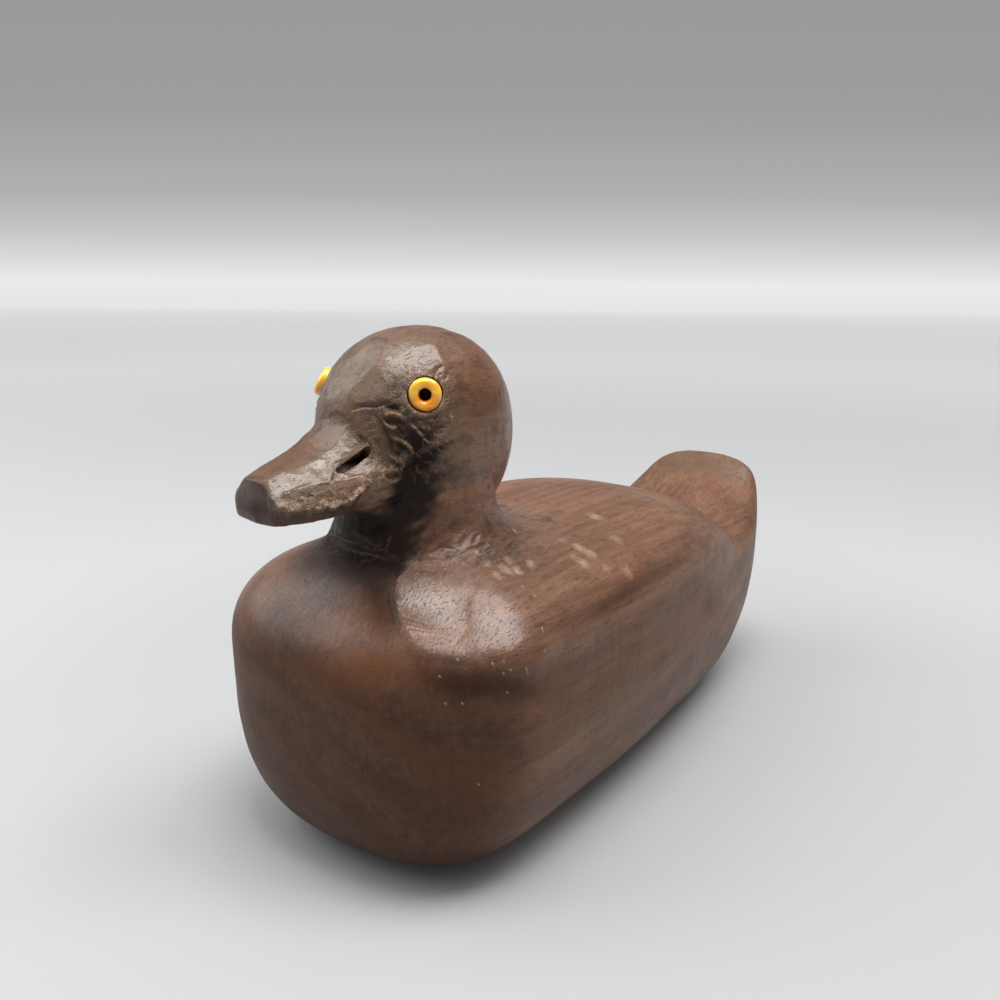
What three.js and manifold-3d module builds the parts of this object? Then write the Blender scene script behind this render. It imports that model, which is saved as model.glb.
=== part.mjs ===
// Small duck carved from one block of dark wood, with a glass ring bead set in for each eye.
// Millimetres, +Z up. The duck looks along -Y and its left side is +X. The origin is on the
// ground under the middle of the carving, which rests on its flat underside.

import * as THREE from 'three';
import { mergeVertices } from 'three/addons/utils/BufferGeometryUtils.js';
import Module from 'manifold-3d';

const wasm = await Module();
wasm.setup();

// Body: named lines run from the chest to the end of the tail
const CHEST_Y = -68;
const TAIL_Y = 72.2;
const CHEST_AXIS_Y = -42.8; // upright axis that the chest is rounded about
const CHEST_POWER = 2.58; // how square the chest looks from above
const BODY_HALF_WIDTH = [[-68, 30], [-47, 30], [-19, 29.9], [16, 27.1], [44, 21.9], [61, 18.6], [72.2, 13.4]];
const BACK_HEIGHT = [[-54, 48.8], [-26, 51.2], [2, 51.7], [30, 46.5], [47, 39.2], [61, 42.7], [72.2, 50.6]];
// The keel runs a little under the ground, and the wood is cut off flat where the ground is
const KEEL_HEIGHT = [[-68, -0.7], [37, -0.7], [55.2, 4.6], [72.2, 27.9]];
const RIDGE_SHARE = { side: 0.74, chest: 0.66 }; // height of the soft ridge, as a share of the body's
const UPPER_POWER = { side: 2.24, chest: 1.76 }; // roundness of the section above the ridge
const LOWER_POWER = { side: 3.43, chest: 3.09 }; // and below it
const TAIL_ROUNDING = 3; // radius at the rim of the tail's end
const BODY_STEPS = { side: 27, chest: 22, lower: 8, upper: 10 };

// Neck: an oval post that sweeps out into the back, less so on the chest's slope in front
const NECK_Y = -41.6;
const NECK_HALF_WIDTH = 12.7;
const NECK_HALF_LENGTH = 13.5;
const NECK_FOOT_Z = 44;
const NECK_TOP_Z = 70;
const NECK_FLARE = 15; // how far the foot spreads
const NECK_FLARE_SHIFT = 12; // how far the spread foot stands back from the neck's axis
const NECK_FLARE_HEIGHT = 13.3;
const NECK_FLARE_POWER = 2.2;
const NECK_STEPS = { flare: 11, around: 40 };

// Head: measured from the neck's centre line, then turned as one with the bill
const HEAD_TURN = -8.1; // degrees, to the duck's right
const HEAD_Z = 67.5;
const HEAD_Y = 0.3;
const HEAD_HALF_SIZE = new THREE.Vector3(12.7, 17.4, 17);
const HEAD_POWER = 2.17;

// Knife flats on each side of the head: direction from the head's middle and depth of the cut
const HEAD_FLATS = [
  { turn: 62, lift: -12, depth: { left: 1.1, right: 0.5 } }, // cheek, below and before the eye
  { turn: 68, lift: 43, depth: { left: 0.3, right: 0.3 } }, // small bright flat above the eye
  { turn: 12, lift: 38, depth: { left: 0.35, right: 0.2 } }, // forehead
];

// Bill: a faceted wedge from BILL_ROOT_Y to its blunt point
const BILL_ROOT_Y = -9;
const BILL_TIP_Y = -31;
const BILL_HALF_WIDTH = [[-31, 5.1], [-22, 9.2], [-9, 9.2]];
const BILL_TOP_Z = [[-31, 64.4], [-22, 67], [-12, 74.7], [-9, 76]];
const BILL_SHOULDER_Z = [[-31, 61.6], [-9, 65.6]];
const BILL_EDGE_Z = [[-31, 61.1], [-22, 60.5], [-15.7, 63.2], [-9, 65]];
const BILL_BOTTOM_Z = [[-31, 57.7], [-9, 60.3]];
const BILL_CROWN_SHARE = 0.43; // half-width of the flat along the top, as a share
const BILL_SHOULDER_SHARE = 0.95;
const BILL_UNDERSIDE_SHARE = 0.93;
const BILL_POINT = 0.12; // how far the corners of the tip stand back, per millimetre of width
const BILL_STEPS = 12;

// Nostril: a straight slot in each sloping side of the bill
const NOSTRIL_X = 7;
const NOSTRIL_BACK = { y: -14.8, z: 67.6 };
const NOSTRIL_FRONT = { y: -20.6, z: 65.1 };
const NOSTRIL_WIDTH = 1.3;
const NOSTRIL_DEPTH = 1.6;
const NOSTRIL_LEAN = 42; // degrees that the slot's opening leans out from straight up

// Eyes: ring beads, the middle of each outer face given in the head's own directions
const BEAD_RADIUS = 2.55;
const BEAD_HOLE_RADIUS = 0.92;
const BEAD_THICKNESS = 2.8;
const BEAD_POWER = 2.6; // how square the ring's section is
const BEAD_STEPS = { around: 26, section: 12 };
const SOCKET_GAP = 0.35;
const EYES = {
  left: { at: new THREE.Vector3(11.2, -7.9, 75.1), turn: 46, lift: 2 },
  right: { at: new THREE.Vector3(-10.6, -10.7, 76), turn: 46, lift: 28 },
};

const CUTTER = 60; // size of the blocks that trim the wood away

const wood = new THREE.MeshStandardMaterial({ color: 0x4a3328, roughness: 0.42, metalness: 0 });
const glass = new THREE.MeshStandardMaterial({ color: 0xe8920f, roughness: 0.18, metalness: 0 });

// Monotone curve through [position, value] pairs, held level beyond its ends
function lineThrough(points) {
  const slopes = points.slice(1).map(([x, v], i) => (v - points[i][1]) / (x - points[i][0]));
  const tangents = points.map((_, i) => {
    if (i === 0 || i === points.length - 1) return 0;
    const [before, after] = [slopes[i - 1], slopes[i]];
    return before * after <= 0 ? 0 : (2 * before * after) / (before + after);
  });
  tangents[0] = slopes[0];
  tangents[points.length - 1] = slopes[slopes.length - 1];
  return (x) => {
    if (x <= points[0][0]) return points[0][1];
    if (x >= points[points.length - 1][0]) return points[points.length - 1][1];
    const i = points.findIndex(([start]) => start > x) - 1;
    const width = points[i + 1][0] - points[i][0];
    const t = (x - points[i][0]) / width;
    const ease = t * t * (3 - 2 * t);
    return points[i][1] * (1 - ease) + points[i + 1][1] * ease
      + width * (tangents[i] * t * (1 - t) ** 2 - tangents[i + 1] * t * t * (1 - t));
  };
}

const halfWidthAt = lineThrough(BODY_HALF_WIDTH);
const backAt = lineThrough(BACK_HEIGHT);
const keelAt = lineThrough(KEEL_HEIGHT);

const degrees = THREE.MathUtils.degToRad;
const blend = THREE.MathUtils.lerp;
const power = (value, exponent) => Math.sign(value) * Math.abs(value) ** exponent;

// Even steps from one value to another, both ends included
function steps(from, to, count) {
  return Array.from({ length: count + 1 }, (_, i) => blend(from, to, i / count));
}

// Turn a triangle soup into a closed solid
function solid(geometry) {
  const bare = geometry.index ? geometry.toNonIndexed() : geometry.clone();
  bare.deleteAttribute('normal');
  bare.deleteAttribute('uv');
  const merged = mergeVertices(bare, 1e-4);
  const index = merged.index.array;
  const kept = [];
  for (let i = 0; i < index.length; i += 3) {
    const [a, b, c] = index.slice(i, i + 3);
    if (a !== b && b !== c && c !== a) kept.push(a, b, c);
  }
  return new wasm.Manifold(new wasm.Mesh({
    numProp: 3,
    vertProperties: Float32Array.from(merged.attributes.position.array),
    triVerts: Uint32Array.from(kept),
  }));
}

function geometryOf(manifold) {
  const mesh = manifold.getMesh();
  const geometry = new THREE.BufferGeometry();
  geometry.setAttribute('position', new THREE.BufferAttribute(mesh.vertProperties, 3));
  geometry.setIndex(new THREE.BufferAttribute(mesh.triVerts, 1));
  const flat = geometry.toNonIndexed();
  flat.computeVertexNormals();
  return flat;
}

// Skin between rows of points, with each row's points joined to the next row's
function skin(rows) {
  const points = [];
  for (let i = 0; i + 1 < rows.length; i += 1) {
    for (let j = 0; j + 1 < rows[i].length; j += 1) {
      const [a, b, c, d] = [rows[i][j], rows[i][j + 1], rows[i + 1][j + 1], rows[i + 1][j]];
      points.push(a, b, c, a, c, d);
    }
  }
  return points;
}

// Flat end over a closed ring of points
function cap(ring) {
  const centre = new THREE.Vector3();
  ring.forEach((point) => centre.addScaledVector(point, 1 / ring.length));
  return ring.flatMap((point, i) => [centre, point, ring[(i + 1) % ring.length]]);
}

// One half of a body section, from the keel to the middle of the back, as shares across and up
function halfSection(upperPower, lowerPower) {
  const lower = steps(-90, 0, BODY_STEPS.lower);
  const upper = steps(0, 90, BODY_STEPS.upper).slice(1);
  return [...lower, ...upper].map((angle) => {
    const exponent = 2 / (angle < 0 ? lowerPower : upperPower);
    return {
      across: power(Math.max(Math.cos(degrees(angle)), 0), exponent),
      up: power(Math.sin(degrees(angle)), exponent),
    };
  }).map((point, i, all) => (i === 0 || i === all.length - 1 ? { ...point, across: 0 } : point));
}

const heightIn = (section, keel, ridge, back) => (
  section.up > 0 ? blend(ridge, back, section.up) : blend(ridge, keel, -section.up)
);

// Half-section of the body on one side, drawn in near the tail's rounded end
function sideRow(side, y) {
  const intoRim = Math.max(0, (y - (TAIL_Y - TAIL_ROUNDING)) / TAIL_ROUNDING);
  const inset = TAIL_ROUNDING * (1 - Math.sqrt(1 - intoRim ** 2));
  const keel = keelAt(y) + inset;
  const back = backAt(y) - inset;
  const ridge = blend(keel, back, RIDGE_SHARE.side);
  return halfSection(UPPER_POWER.side, LOWER_POWER.side).map((section) => new THREE.Vector3(
    side * (halfWidthAt(y) - inset) * section.across,
    y,
    heightIn(section, keel, ridge, back),
  ));
}

// The same half-section swept about the chest's upright axis, at an angle from straight ahead
function chestRow(angle) {
  const ahead = Math.cos(degrees(angle));
  const aside = Math.sin(degrees(angle));
  const frontness = ahead ** 2;
  const back = backAt(CHEST_AXIS_Y);
  const ridge = back * blend(RIDGE_SHARE.side, RIDGE_SHARE.chest, frontness);
  const upperPower = blend(UPPER_POWER.side, UPPER_POWER.chest, frontness);
  const lowerPower = blend(LOWER_POWER.side, LOWER_POWER.chest, frontness);
  const reachX = halfWidthAt(CHEST_AXIS_Y) * power(aside, 2 / CHEST_POWER);
  const reachY = (CHEST_Y - CHEST_AXIS_Y) * power(ahead, 2 / CHEST_POWER);
  return halfSection(upperPower, lowerPower).map((section) => new THREE.Vector3(
    reachX * section.across,
    CHEST_AXIS_Y + reachY * section.across,
    heightIn(section, keelAt(CHEST_AXIS_Y), ridge, back),
  ));
}

// Closed solid through rings of points that run one way round, with a flat cap at each end
function closedTube(rings) {
  const closed = rings.map((ring) => [...ring, ring[0]]);
  const ends = [...cap(rings[0].toReversed()), ...cap(rings[rings.length - 1])];
  return solid(new THREE.BufferGeometry().setFromPoints([...skin(closed), ...ends]));
}

function body() {
  const rim = steps(0, 90, 4).map((angle) => TAIL_Y - TAIL_ROUNDING * (1 - Math.sin(degrees(angle))));
  const stations = [
    ...steps(CHEST_AXIS_Y, TAIL_Y - TAIL_ROUNDING, BODY_STEPS.side),
    ...rim.slice(1),
  ];
  const chest = steps(90, -90, BODY_STEPS.chest).slice(1, -1);
  const rows = [
    ...stations.toReversed().map((y) => sideRow(1, y)),
    ...chest.map(chestRow),
    ...stations.map((y) => sideRow(-1, y)),
  ];
  const tailEnd = [...rows[0].toReversed(), ...rows[rows.length - 1].slice(1, -1)];
  const whole = new THREE.BufferGeometry().setFromPoints([...skin(rows), ...cap(tailEnd)]);
  const below = new THREE.BoxGeometry(4 * CUTTER, 4 * CUTTER, CUTTER).translate(0, 0, -CUTTER / 2);
  return solid(whole).subtract(solid(below));
}

// Ring of the neck at a height above its foot, set back as it spreads
function neckRing(height) {
  const spread = Math.max(0, 1 - height / NECK_FLARE_HEIGHT) ** NECK_FLARE_POWER;
  const reachX = NECK_HALF_WIDTH + NECK_FLARE * spread;
  const reachY = NECK_HALF_LENGTH + NECK_FLARE * spread;
  const middleY = NECK_Y + NECK_FLARE_SHIFT * spread;
  return steps(0, 360, NECK_STEPS.around).slice(0, -1).map((angle) => new THREE.Vector3(
    reachX * Math.cos(degrees(angle)),
    middleY + reachY * Math.sin(degrees(angle)),
    NECK_FOOT_Z + height,
  ));
}

function neck() {
  const flare = steps(0, NECK_FLARE_HEIGHT, NECK_STEPS.flare);
  const rings = [...flare, NECK_TOP_Z - NECK_FOOT_Z].map(neckRing);
  return closedTube(rings);
}

function headBall() {
  const ball = new THREE.SphereGeometry(1, 40, 26);
  const place = ball.attributes.position;
  const exponent = 2 / HEAD_POWER;
  for (let i = 0; i < place.count; i += 1) {
    const [x, y, z] = [place.getX(i), place.getY(i), place.getZ(i)].map((v) => power(v, exponent));
    place.setXYZ(i, x, y, z);
  }
  ball.scale(...HEAD_HALF_SIZE.toArray());
  return solid(ball.translate(0, HEAD_Y, HEAD_Z));
}

// Direction by its turn from straight ahead towards one side and its lift above level
function direction(side, turn, lift) {
  const level = Math.cos(degrees(lift));
  return new THREE.Vector3(
    side * Math.sin(degrees(turn)) * level,
    -Math.cos(degrees(turn)) * level,
    Math.sin(degrees(lift)),
  );
}

// Distance from the head's middle to the plane that just touches it in a direction
function reachOfHead(way) {
  const dual = HEAD_POWER / (HEAD_POWER - 1);
  const terms = ['x', 'y', 'z'].map((axis) => Math.abs(way[axis] * HEAD_HALF_SIZE[axis]) ** dual);
  return terms.reduce((sum, term) => sum + term) ** (1 / dual);
}

// Block whose face shaves a flat off the head
function knifeFlat(side, { turn, lift, depth }) {
  const way = direction(side, turn, lift);
  const block = new THREE.BoxGeometry(CUTTER, CUTTER, CUTTER);
  block.translate(0, 0, CUTTER / 2 + reachOfHead(way) - (side > 0 ? depth.left : depth.right));
  block.applyQuaternion(new THREE.Quaternion().setFromUnitVectors(new THREE.Vector3(0, 0, 1), way));
  return solid(block.translate(0, HEAD_Y, HEAD_Z));
}

const BILL_LINES = [BILL_HALF_WIDTH, BILL_TOP_Z, BILL_SHOULDER_Z, BILL_EDGE_Z, BILL_BOTTOM_Z];

// Ring of the bill: flat top, sloping facets, worn lower edges, thin sides and a flat underside
function billRing(y) {
  const [halfWidth, top, shoulder, edge, bottom] = BILL_LINES.map((line) => lineThrough(line)(y));
  const half = [
    [0, top],
    [BILL_CROWN_SHARE * halfWidth, blend(top, shoulder, 0.1)],
    [BILL_SHOULDER_SHARE * halfWidth, shoulder],
    [halfWidth, edge],
    [BILL_UNDERSIDE_SHARE * halfWidth, bottom],
    [0, bottom],
  ];
  const mirrored = half.slice(1, -1).toReversed().map(([x, z]) => [-x, z]);
  const atTip = y === BILL_TIP_Y ? BILL_POINT : 0;
  return [...half, ...mirrored].map(([x, z]) => new THREE.Vector3(x, y + atTip * Math.abs(x), z));
}

function bill() {
  return closedTube(steps(BILL_TIP_Y, BILL_ROOT_Y, BILL_STEPS).map(billRing));
}

function nostril(side) {
  const back = new THREE.Vector3(side * NOSTRIL_X, NOSTRIL_BACK.y, NOSTRIL_BACK.z);
  const front = new THREE.Vector3(side * NOSTRIL_X, NOSTRIL_FRONT.y, NOSTRIL_FRONT.z);
  const along = front.clone().sub(back);
  const length = along.length();
  along.normalize();
  const outward = direction(side, 90, 90 - NOSTRIL_LEAN);
  const across = new THREE.Vector3().crossVectors(outward, along).normalize();
  outward.crossVectors(along, across);
  const slot = new THREE.Shape();
  const radius = NOSTRIL_WIDTH / 2;
  slot.absarc(length - radius, 0, radius, -Math.PI / 2, Math.PI / 2);
  slot.absarc(radius, 0, radius, Math.PI / 2, (3 * Math.PI) / 2);
  const cut = new THREE.ExtrudeGeometry(slot, { depth: 8, bevelEnabled: false, curveSegments: 5 });
  cut.translate(0, 0, -NOSTRIL_DEPTH);
  cut.applyMatrix4(new THREE.Matrix4().makeBasis(along, across, outward).setPosition(back));
  return solid(cut);
}

// Where a bead sits: its own +Z points out of the head
function eyePlace(side, { at, turn, lift }) {
  const outward = direction(side, turn, lift);
  const upright = new THREE.Quaternion().setFromUnitVectors(new THREE.Vector3(0, 0, 1), outward);
  const middle = at.clone().addScaledVector(outward, -BEAD_THICKNESS / 2);
  return new THREE.Matrix4().compose(middle, upright, new THREE.Vector3(1, 1, 1));
}

function socket(place) {
  const length = CUTTER / 4;
  const hole = new THREE.CylinderGeometry(BEAD_RADIUS + SOCKET_GAP, BEAD_RADIUS + SOCKET_GAP, length, 28);
  hole.rotateX(Math.PI / 2).translate(0, 0, length / 2 - BEAD_THICKNESS / 2 - SOCKET_GAP);
  return solid(hole.applyMatrix4(place));
}

// Ring bead about its own Z axis
function bead() {
  const middle = (BEAD_RADIUS + BEAD_HOLE_RADIUS) / 2;
  const reach = (BEAD_RADIUS - BEAD_HOLE_RADIUS) / 2;
  const section = steps(0, 360, BEAD_STEPS.section).map((angle) => new THREE.Vector2(
    middle + reach * power(Math.cos(degrees(angle)), 2 / BEAD_POWER),
    (BEAD_THICKNESS / 2) * power(Math.sin(degrees(angle)), 2 / BEAD_POWER),
  ));
  section[section.length - 1].copy(section[0]);
  const ring = new THREE.LatheGeometry(section, BEAD_STEPS.around).rotateX(Math.PI / 2);
  return geometryOf(solid(ring));
}

function carving(headFrame) {
  let head = headBall();
  for (const side of [1, -1]) {
    for (const flat of HEAD_FLATS) head = head.subtract(knifeFlat(side, flat));
  }
  head = head.add(bill());
  for (const side of [1, -1]) {
    const eye = side > 0 ? EYES.left : EYES.right;
    head = head.subtract(nostril(side)).subtract(socket(eyePlace(side, eye)));
  }
  const turned = geometryOf(head).applyMatrix4(headFrame.matrix);
  return geometryOf(body().add(neck()).add(solid(turned)));
}

const headFrame = new THREE.Group();
headFrame.position.set(0, NECK_Y, 0);
headFrame.rotation.z = degrees(HEAD_TURN);
headFrame.updateMatrix();

for (const [name, eye] of Object.entries(EYES)) {
  const mesh = new THREE.Mesh(bead(), glass.clone());
  mesh.name = `${name}_eye_bead`;
  mesh.applyMatrix4(eyePlace(Math.sign(eye.at.x), eye));
  headFrame.add(mesh);
}

const duckCarving = new THREE.Mesh(carving(headFrame), wood);
duckCarving.name = 'duck_carving';

const duck = new THREE.Group();
duck.add(duckCarving, headFrame);

export default duck;
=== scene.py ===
"""Looks of a small duck carved from one block of dark waxed wood, with ring beads for eyes.

Metres, +Z up. The duck looks along -Y and its left side is +X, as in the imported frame.
The carving is cut a second time here, at the scale of the knife: flats, gouges, chips and pores.
"""

import math

import bmesh
import bpy
import numpy as np
from bpy.props import FloatProperty, FloatVectorProperty, IntProperty, PointerProperty
from mathutils import Matrix, Vector
from mathutils.kdtree import KDTree


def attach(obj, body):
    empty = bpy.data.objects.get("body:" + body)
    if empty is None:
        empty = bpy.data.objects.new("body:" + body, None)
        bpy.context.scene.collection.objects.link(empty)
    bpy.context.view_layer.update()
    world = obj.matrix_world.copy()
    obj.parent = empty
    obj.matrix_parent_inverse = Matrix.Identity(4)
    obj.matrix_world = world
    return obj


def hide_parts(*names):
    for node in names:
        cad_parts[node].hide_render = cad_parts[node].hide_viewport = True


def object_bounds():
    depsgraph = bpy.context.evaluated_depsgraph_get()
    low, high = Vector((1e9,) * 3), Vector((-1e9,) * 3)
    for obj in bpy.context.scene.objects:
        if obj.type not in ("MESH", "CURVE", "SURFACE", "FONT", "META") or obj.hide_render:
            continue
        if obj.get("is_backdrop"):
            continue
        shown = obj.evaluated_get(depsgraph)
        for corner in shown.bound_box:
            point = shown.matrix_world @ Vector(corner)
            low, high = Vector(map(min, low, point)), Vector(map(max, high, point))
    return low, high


bl_info = {
    "name": "Carved duck",
    "version": (1, 0, 0),
    "blender": (4, 5, 0),
    "location": "3D View > Sidebar > Carved duck",
    "description": "Cuts, colours and lights a small carved wooden duck",
    "category": "Object",
}

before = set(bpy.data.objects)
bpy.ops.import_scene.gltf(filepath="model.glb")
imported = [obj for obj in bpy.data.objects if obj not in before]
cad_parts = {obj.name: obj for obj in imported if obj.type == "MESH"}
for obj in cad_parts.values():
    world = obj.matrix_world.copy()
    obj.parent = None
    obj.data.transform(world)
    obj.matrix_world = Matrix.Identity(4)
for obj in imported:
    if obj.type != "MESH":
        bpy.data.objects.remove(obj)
CAD_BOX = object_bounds()

MM = 0.001
PHOTO_SIZE = 1000
SENSOR_WIDTH = 36.0

# The head and bill are turned as one about the neck's upright centre line
NECK_AXIS = np.array([0.0, -41.6, 0.0])
HEAD_TURN = math.radians(-8.1)
HEAD_MIDDLE = np.array([0.0, -41.3, 67.5])

# In the head's own frame (across, behind the neck's centre line, up), as the CAD has them
NOSTRIL_X = 7.0
NOSTRIL_BACK = (-14.8, 67.6)
NOSTRIL_FRONT = (-20.6, 65.1)
NOSTRIL_WIDTH = 1.3
NOSTRIL_DEPTH = 1.6
NOSTRIL_LIFT = math.radians(48)
SOCKET_GAP = 0.35
SOCKET_CLEARANCE = 0.04
BILL_ROOT = np.array([(0.0, -16.8, 71.0), (6.1, -14.9, 71.6), (8.4, -13.2, 68.8), (8.9, -11.2, 65.0)])

# Heights, and distances from the neck's centre line, where one kind of surface starts to fade and has faded
HEAD_FOOT = (46.5, 50.5)
HEAD_EDGE = (24, 28)
BILL_LEVEL = 56
BILL_REACH = 40
BILL_UNDERSIDE = (56, 58)


class CarvingSizes(bpy.types.PropertyGroup):
    """Sizes of the knife work, in millimetres unless a unit is given"""

    grid: FloatProperty(
        name="Grid", description="Spacing of the points the knife moves", default=0.42 * MM, unit="LENGTH")
    triangles: IntProperty(
        name="Triangles", description="Most triangles kept on the carving", default=186000, min=1000)
    body_passes: IntProperty(
        name="Body passes", description="How long the body is sanded smooth", default=140, min=0)
    head_passes: IntProperty(
        name="Head passes", description="How long the head is rubbed down", default=9, min=0)
    join_passes: IntProperty(
        name="Join passes", description="How long the bill's root and the neck's foot are blended",
        default=150, min=0)
    flat_depth: FloatProperty(
        name="Flat depth", description="Depth of a knife flat on the head", default=0.10 * MM, unit="LENGTH")
    seed: IntProperty(name="Seed", description="Seed of everything irregular", default=7)


class WoodFinish(bpy.types.PropertyGroup):
    """Colours and sheen of the waxed wood"""

    light: FloatVectorProperty(
        name="Light wood", description="Paler bands of the figure", subtype="COLOR",
        default=(0.205, 0.102, 0.058))
    dark: FloatVectorProperty(
        name="Dark wood", description="Darker bands of the figure", subtype="COLOR",
        default=(0.108, 0.050, 0.028))
    red: FloatVectorProperty(
        name="Red wood", description="Redder patches", subtype="COLOR",
        default=(0.185, 0.068, 0.034))
    # Greyer colour: the face's greyer wood, also painted as sheen on the forehead, the tail's top and the flank
    olive: FloatVectorProperty(
        name="Olive wood", description="Greyer wood of the face", subtype="COLOR",
        default=(0.118, 0.078, 0.044))
    warm: FloatVectorProperty(
        name="Warm wood", description="Orange-brown patches", subtype="COLOR",
        default=(0.105, 0.038, 0.014))
    # Dark brown for stains, pores, rays and mottling, and for the painted shade on the chest and head
    stain: FloatVectorProperty(
        name="Stain", description="Darker stain on the lower chest", subtype="COLOR",
        default=(0.033, 0.0145, 0.0095))
    # Near black, for the painted shade under the head and bill and at the neck's foot, over some grimy wood on the
    # neck and cheeks
    grime: FloatVectorProperty(
        name="Grime", description="Old stain in the neck and cheeks", subtype="COLOR",
        default=(0.011, 0.008, 0.007))
    chip: FloatVectorProperty(
        name="Chipped wood", description="Bare wood on chipped rims", subtype="COLOR",
        default=(0.38, 0.26, 0.17))
    fleck: FloatVectorProperty(
        name="Flecks", description="Pale flecks and scratches", subtype="COLOR",
        default=(0.52, 0.40, 0.30))
    ring_spacing: FloatProperty(
        name="Ring spacing", description="Width of one growth band", default=8.5 * MM, unit="LENGTH")
    roughness: FloatProperty(
        name="Roughness", description="Roughness of the waxed surface", default=0.46, subtype="FACTOR")
    polish: FloatProperty(
        name="Polish", description="Weight of the wax film where hands have rubbed it",
        default=0.8, subtype="FACTOR")


class EyeSizes(bpy.types.PropertyGroup):
    """Sizes and colour of the ring beads"""

    radius: FloatProperty(name="Radius", description="Outer radius", default=2.55 * MM, unit="LENGTH")
    hole: FloatProperty(name="Hole", description="Radius of the hole", default=0.84 * MM, unit="LENGTH")
    thickness: FloatProperty(name="Thickness", description="Along the hole", default=2.8 * MM, unit="LENGTH")
    amber: FloatVectorProperty(
        name="Amber", description="Colour of the glass", subtype="COLOR",
        default=(0.80, 0.26, 0.008))
    # Paler colour painted on the top of each bead as light from above, and in cloudy swirls
    honey: FloatVectorProperty(
        name="Honey", description="Paler swirls in the glass", subtype="COLOR",
        default=(1.0, 0.60, 0.07))


class StageSizes(bpy.types.PropertyGroup):
    """Camera, floor and light"""

    target: FloatVectorProperty(
        name="Target", description="Point the camera looks at", subtype="XYZ", unit="LENGTH",
        default=(23.5 * MM, -50.8 * MM, 61.3 * MM))
    azimuth: FloatProperty(
        name="Azimuth", description="Camera's turn from straight ahead of the duck", subtype="ANGLE",
        default=math.radians(35.84))
    elevation: FloatProperty(
        name="Elevation", description="Camera's height above level", subtype="ANGLE",
        default=math.radians(13.0))
    roll: FloatProperty(name="Roll", description="Camera's roll", subtype="ANGLE", default=math.radians(0.42))
    distance: FloatProperty(
        name="Distance", description="Camera to target", unit="LENGTH", default=141.2 * MM)
    lens: FloatProperty(name="Lens", description="Focal length on a 36 mm frame, in mm", default=36.0)
    front_lamp: FloatVectorProperty(
        name="Front lamp", description="Middle of the softbox over the breast", subtype="XYZ", unit="LENGTH",
        default=(85 * MM, -110 * MM, 605 * MM))
    side_lamp: FloatVectorProperty(
        name="Side lamp", description="Middle of the large panel beside the right wing",
        subtype="XYZ", unit="LENGTH",
        default=(-400 * MM, -230 * MM, 400 * MM))
    right_lamp: FloatVectorProperty(
        name="Right lamp", description="Middle of the softbox over the left wing",
        subtype="XYZ", unit="LENGTH",
        default=(235 * MM, 80 * MM, 600 * MM))
    floor_colour: FloatVectorProperty(
        name="Floor", description="Colour of the floor", subtype="COLOR",
        default=(0.364, 0.368, 0.370))


# Camera

def camera_axes(stage):
    """The camera's right, up and backward directions and its place, in metres."""
    level = math.cos(stage.elevation)
    ahead = -math.cos(stage.azimuth) * level
    back = Vector((math.sin(stage.azimuth) * level, ahead, math.sin(stage.elevation)))
    right = Vector((0, 0, 1)).cross(back).normalized()
    up = back.cross(right)
    turned_right = right * math.cos(stage.roll) + up * math.sin(stage.roll)
    turned_up = up * math.cos(stage.roll) - right * math.sin(stage.roll)
    return turned_right, turned_up, back, Vector(stage.target) + back * stage.distance


def sight_line(stage, pixel):
    """Where the camera stands and the direction in which it sees a pixel of the photograph's frame."""
    right, up, back, place = camera_axes(stage)
    focal = PHOTO_SIZE * stage.lens / SENSOR_WIDTH
    across = (pixel[0] - PHOTO_SIZE / 2) / focal
    down = (pixel[1] - PHOTO_SIZE / 2) / focal
    return place, (right * across - up * down - back).normalized()


def pixels_of(stage, points):
    """Where points in millimetres fall in the photograph's frame."""
    right, up, back, place = (np.array(axis) for axis in camera_axes(stage))
    off = points * MM - place
    focal = PHOTO_SIZE * stage.lens / SENSOR_WIDTH / -(off @ back)
    return PHOTO_SIZE / 2 + np.stack([off @ right, -(off @ up)], axis=1) * focal[:, None]


def past_outline(pixels, outline):
    """How many pixels each pixel lies outside a closed outline, negative inside it."""
    corners = np.array(outline, float)
    far = np.full(len(pixels), np.inf)
    inside = np.zeros(len(pixels), bool)
    for a, b in zip(corners, np.roll(corners, -1, axis=0)):
        run = b - a
        share = np.clip((pixels - a) @ run / (run @ run), 0, 1)
        far = np.minimum(far, np.linalg.norm(pixels - a - share[:, None] * run, axis=1))
        between = (a[1] > pixels[:, 1]) != (b[1] > pixels[:, 1])
        crossing = a[0] + (pixels[:, 1] - a[1]) / (run[1] if run[1] else 1.0) * run[0]
        inside ^= between & (pixels[:, 0] < crossing)
    return np.where(inside, -far, far)


# Meshes and numbers

def merged_copy(node):
    """A new object with the CAD node's mesh, its loose triangles joined."""
    copy = bpy.data.objects.new(node + "_blank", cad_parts[node].data.copy())
    copy.data.materials.clear()
    bpy.context.scene.collection.objects.link(copy)
    shell = bmesh.new()
    shell.from_mesh(copy.data)
    bmesh.ops.remove_doubles(shell, verts=shell.verts, dist=0.002 * MM)
    shell.to_mesh(copy.data)
    shell.free()
    return copy


def applied(obj):
    """Replaces an object's mesh by what its modifiers make of it."""
    graph = bpy.context.evaluated_depsgraph_get()
    final = obj.evaluated_get(graph)
    made = bpy.data.meshes.new_from_object(final, preserve_all_data_layers=True, depsgraph=graph)
    obj.modifiers.clear()
    old = obj.data
    obj.data = made
    bpy.data.meshes.remove(old)
    return obj


def points_of(mesh):
    """Vertices in millimetres."""
    flat = np.empty(len(mesh.vertices) * 3)
    mesh.vertices.foreach_get("co", flat)
    return flat.reshape(-1, 3) / MM


def normals_of(mesh):
    flat = np.empty(len(mesh.vertices) * 3)
    mesh.vertex_normals.foreach_get("vector", flat)
    return flat.reshape(-1, 3)


def put_points(mesh, points):
    mesh.vertices.foreach_set("co", (points * MM).ravel())
    mesh.update()


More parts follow.
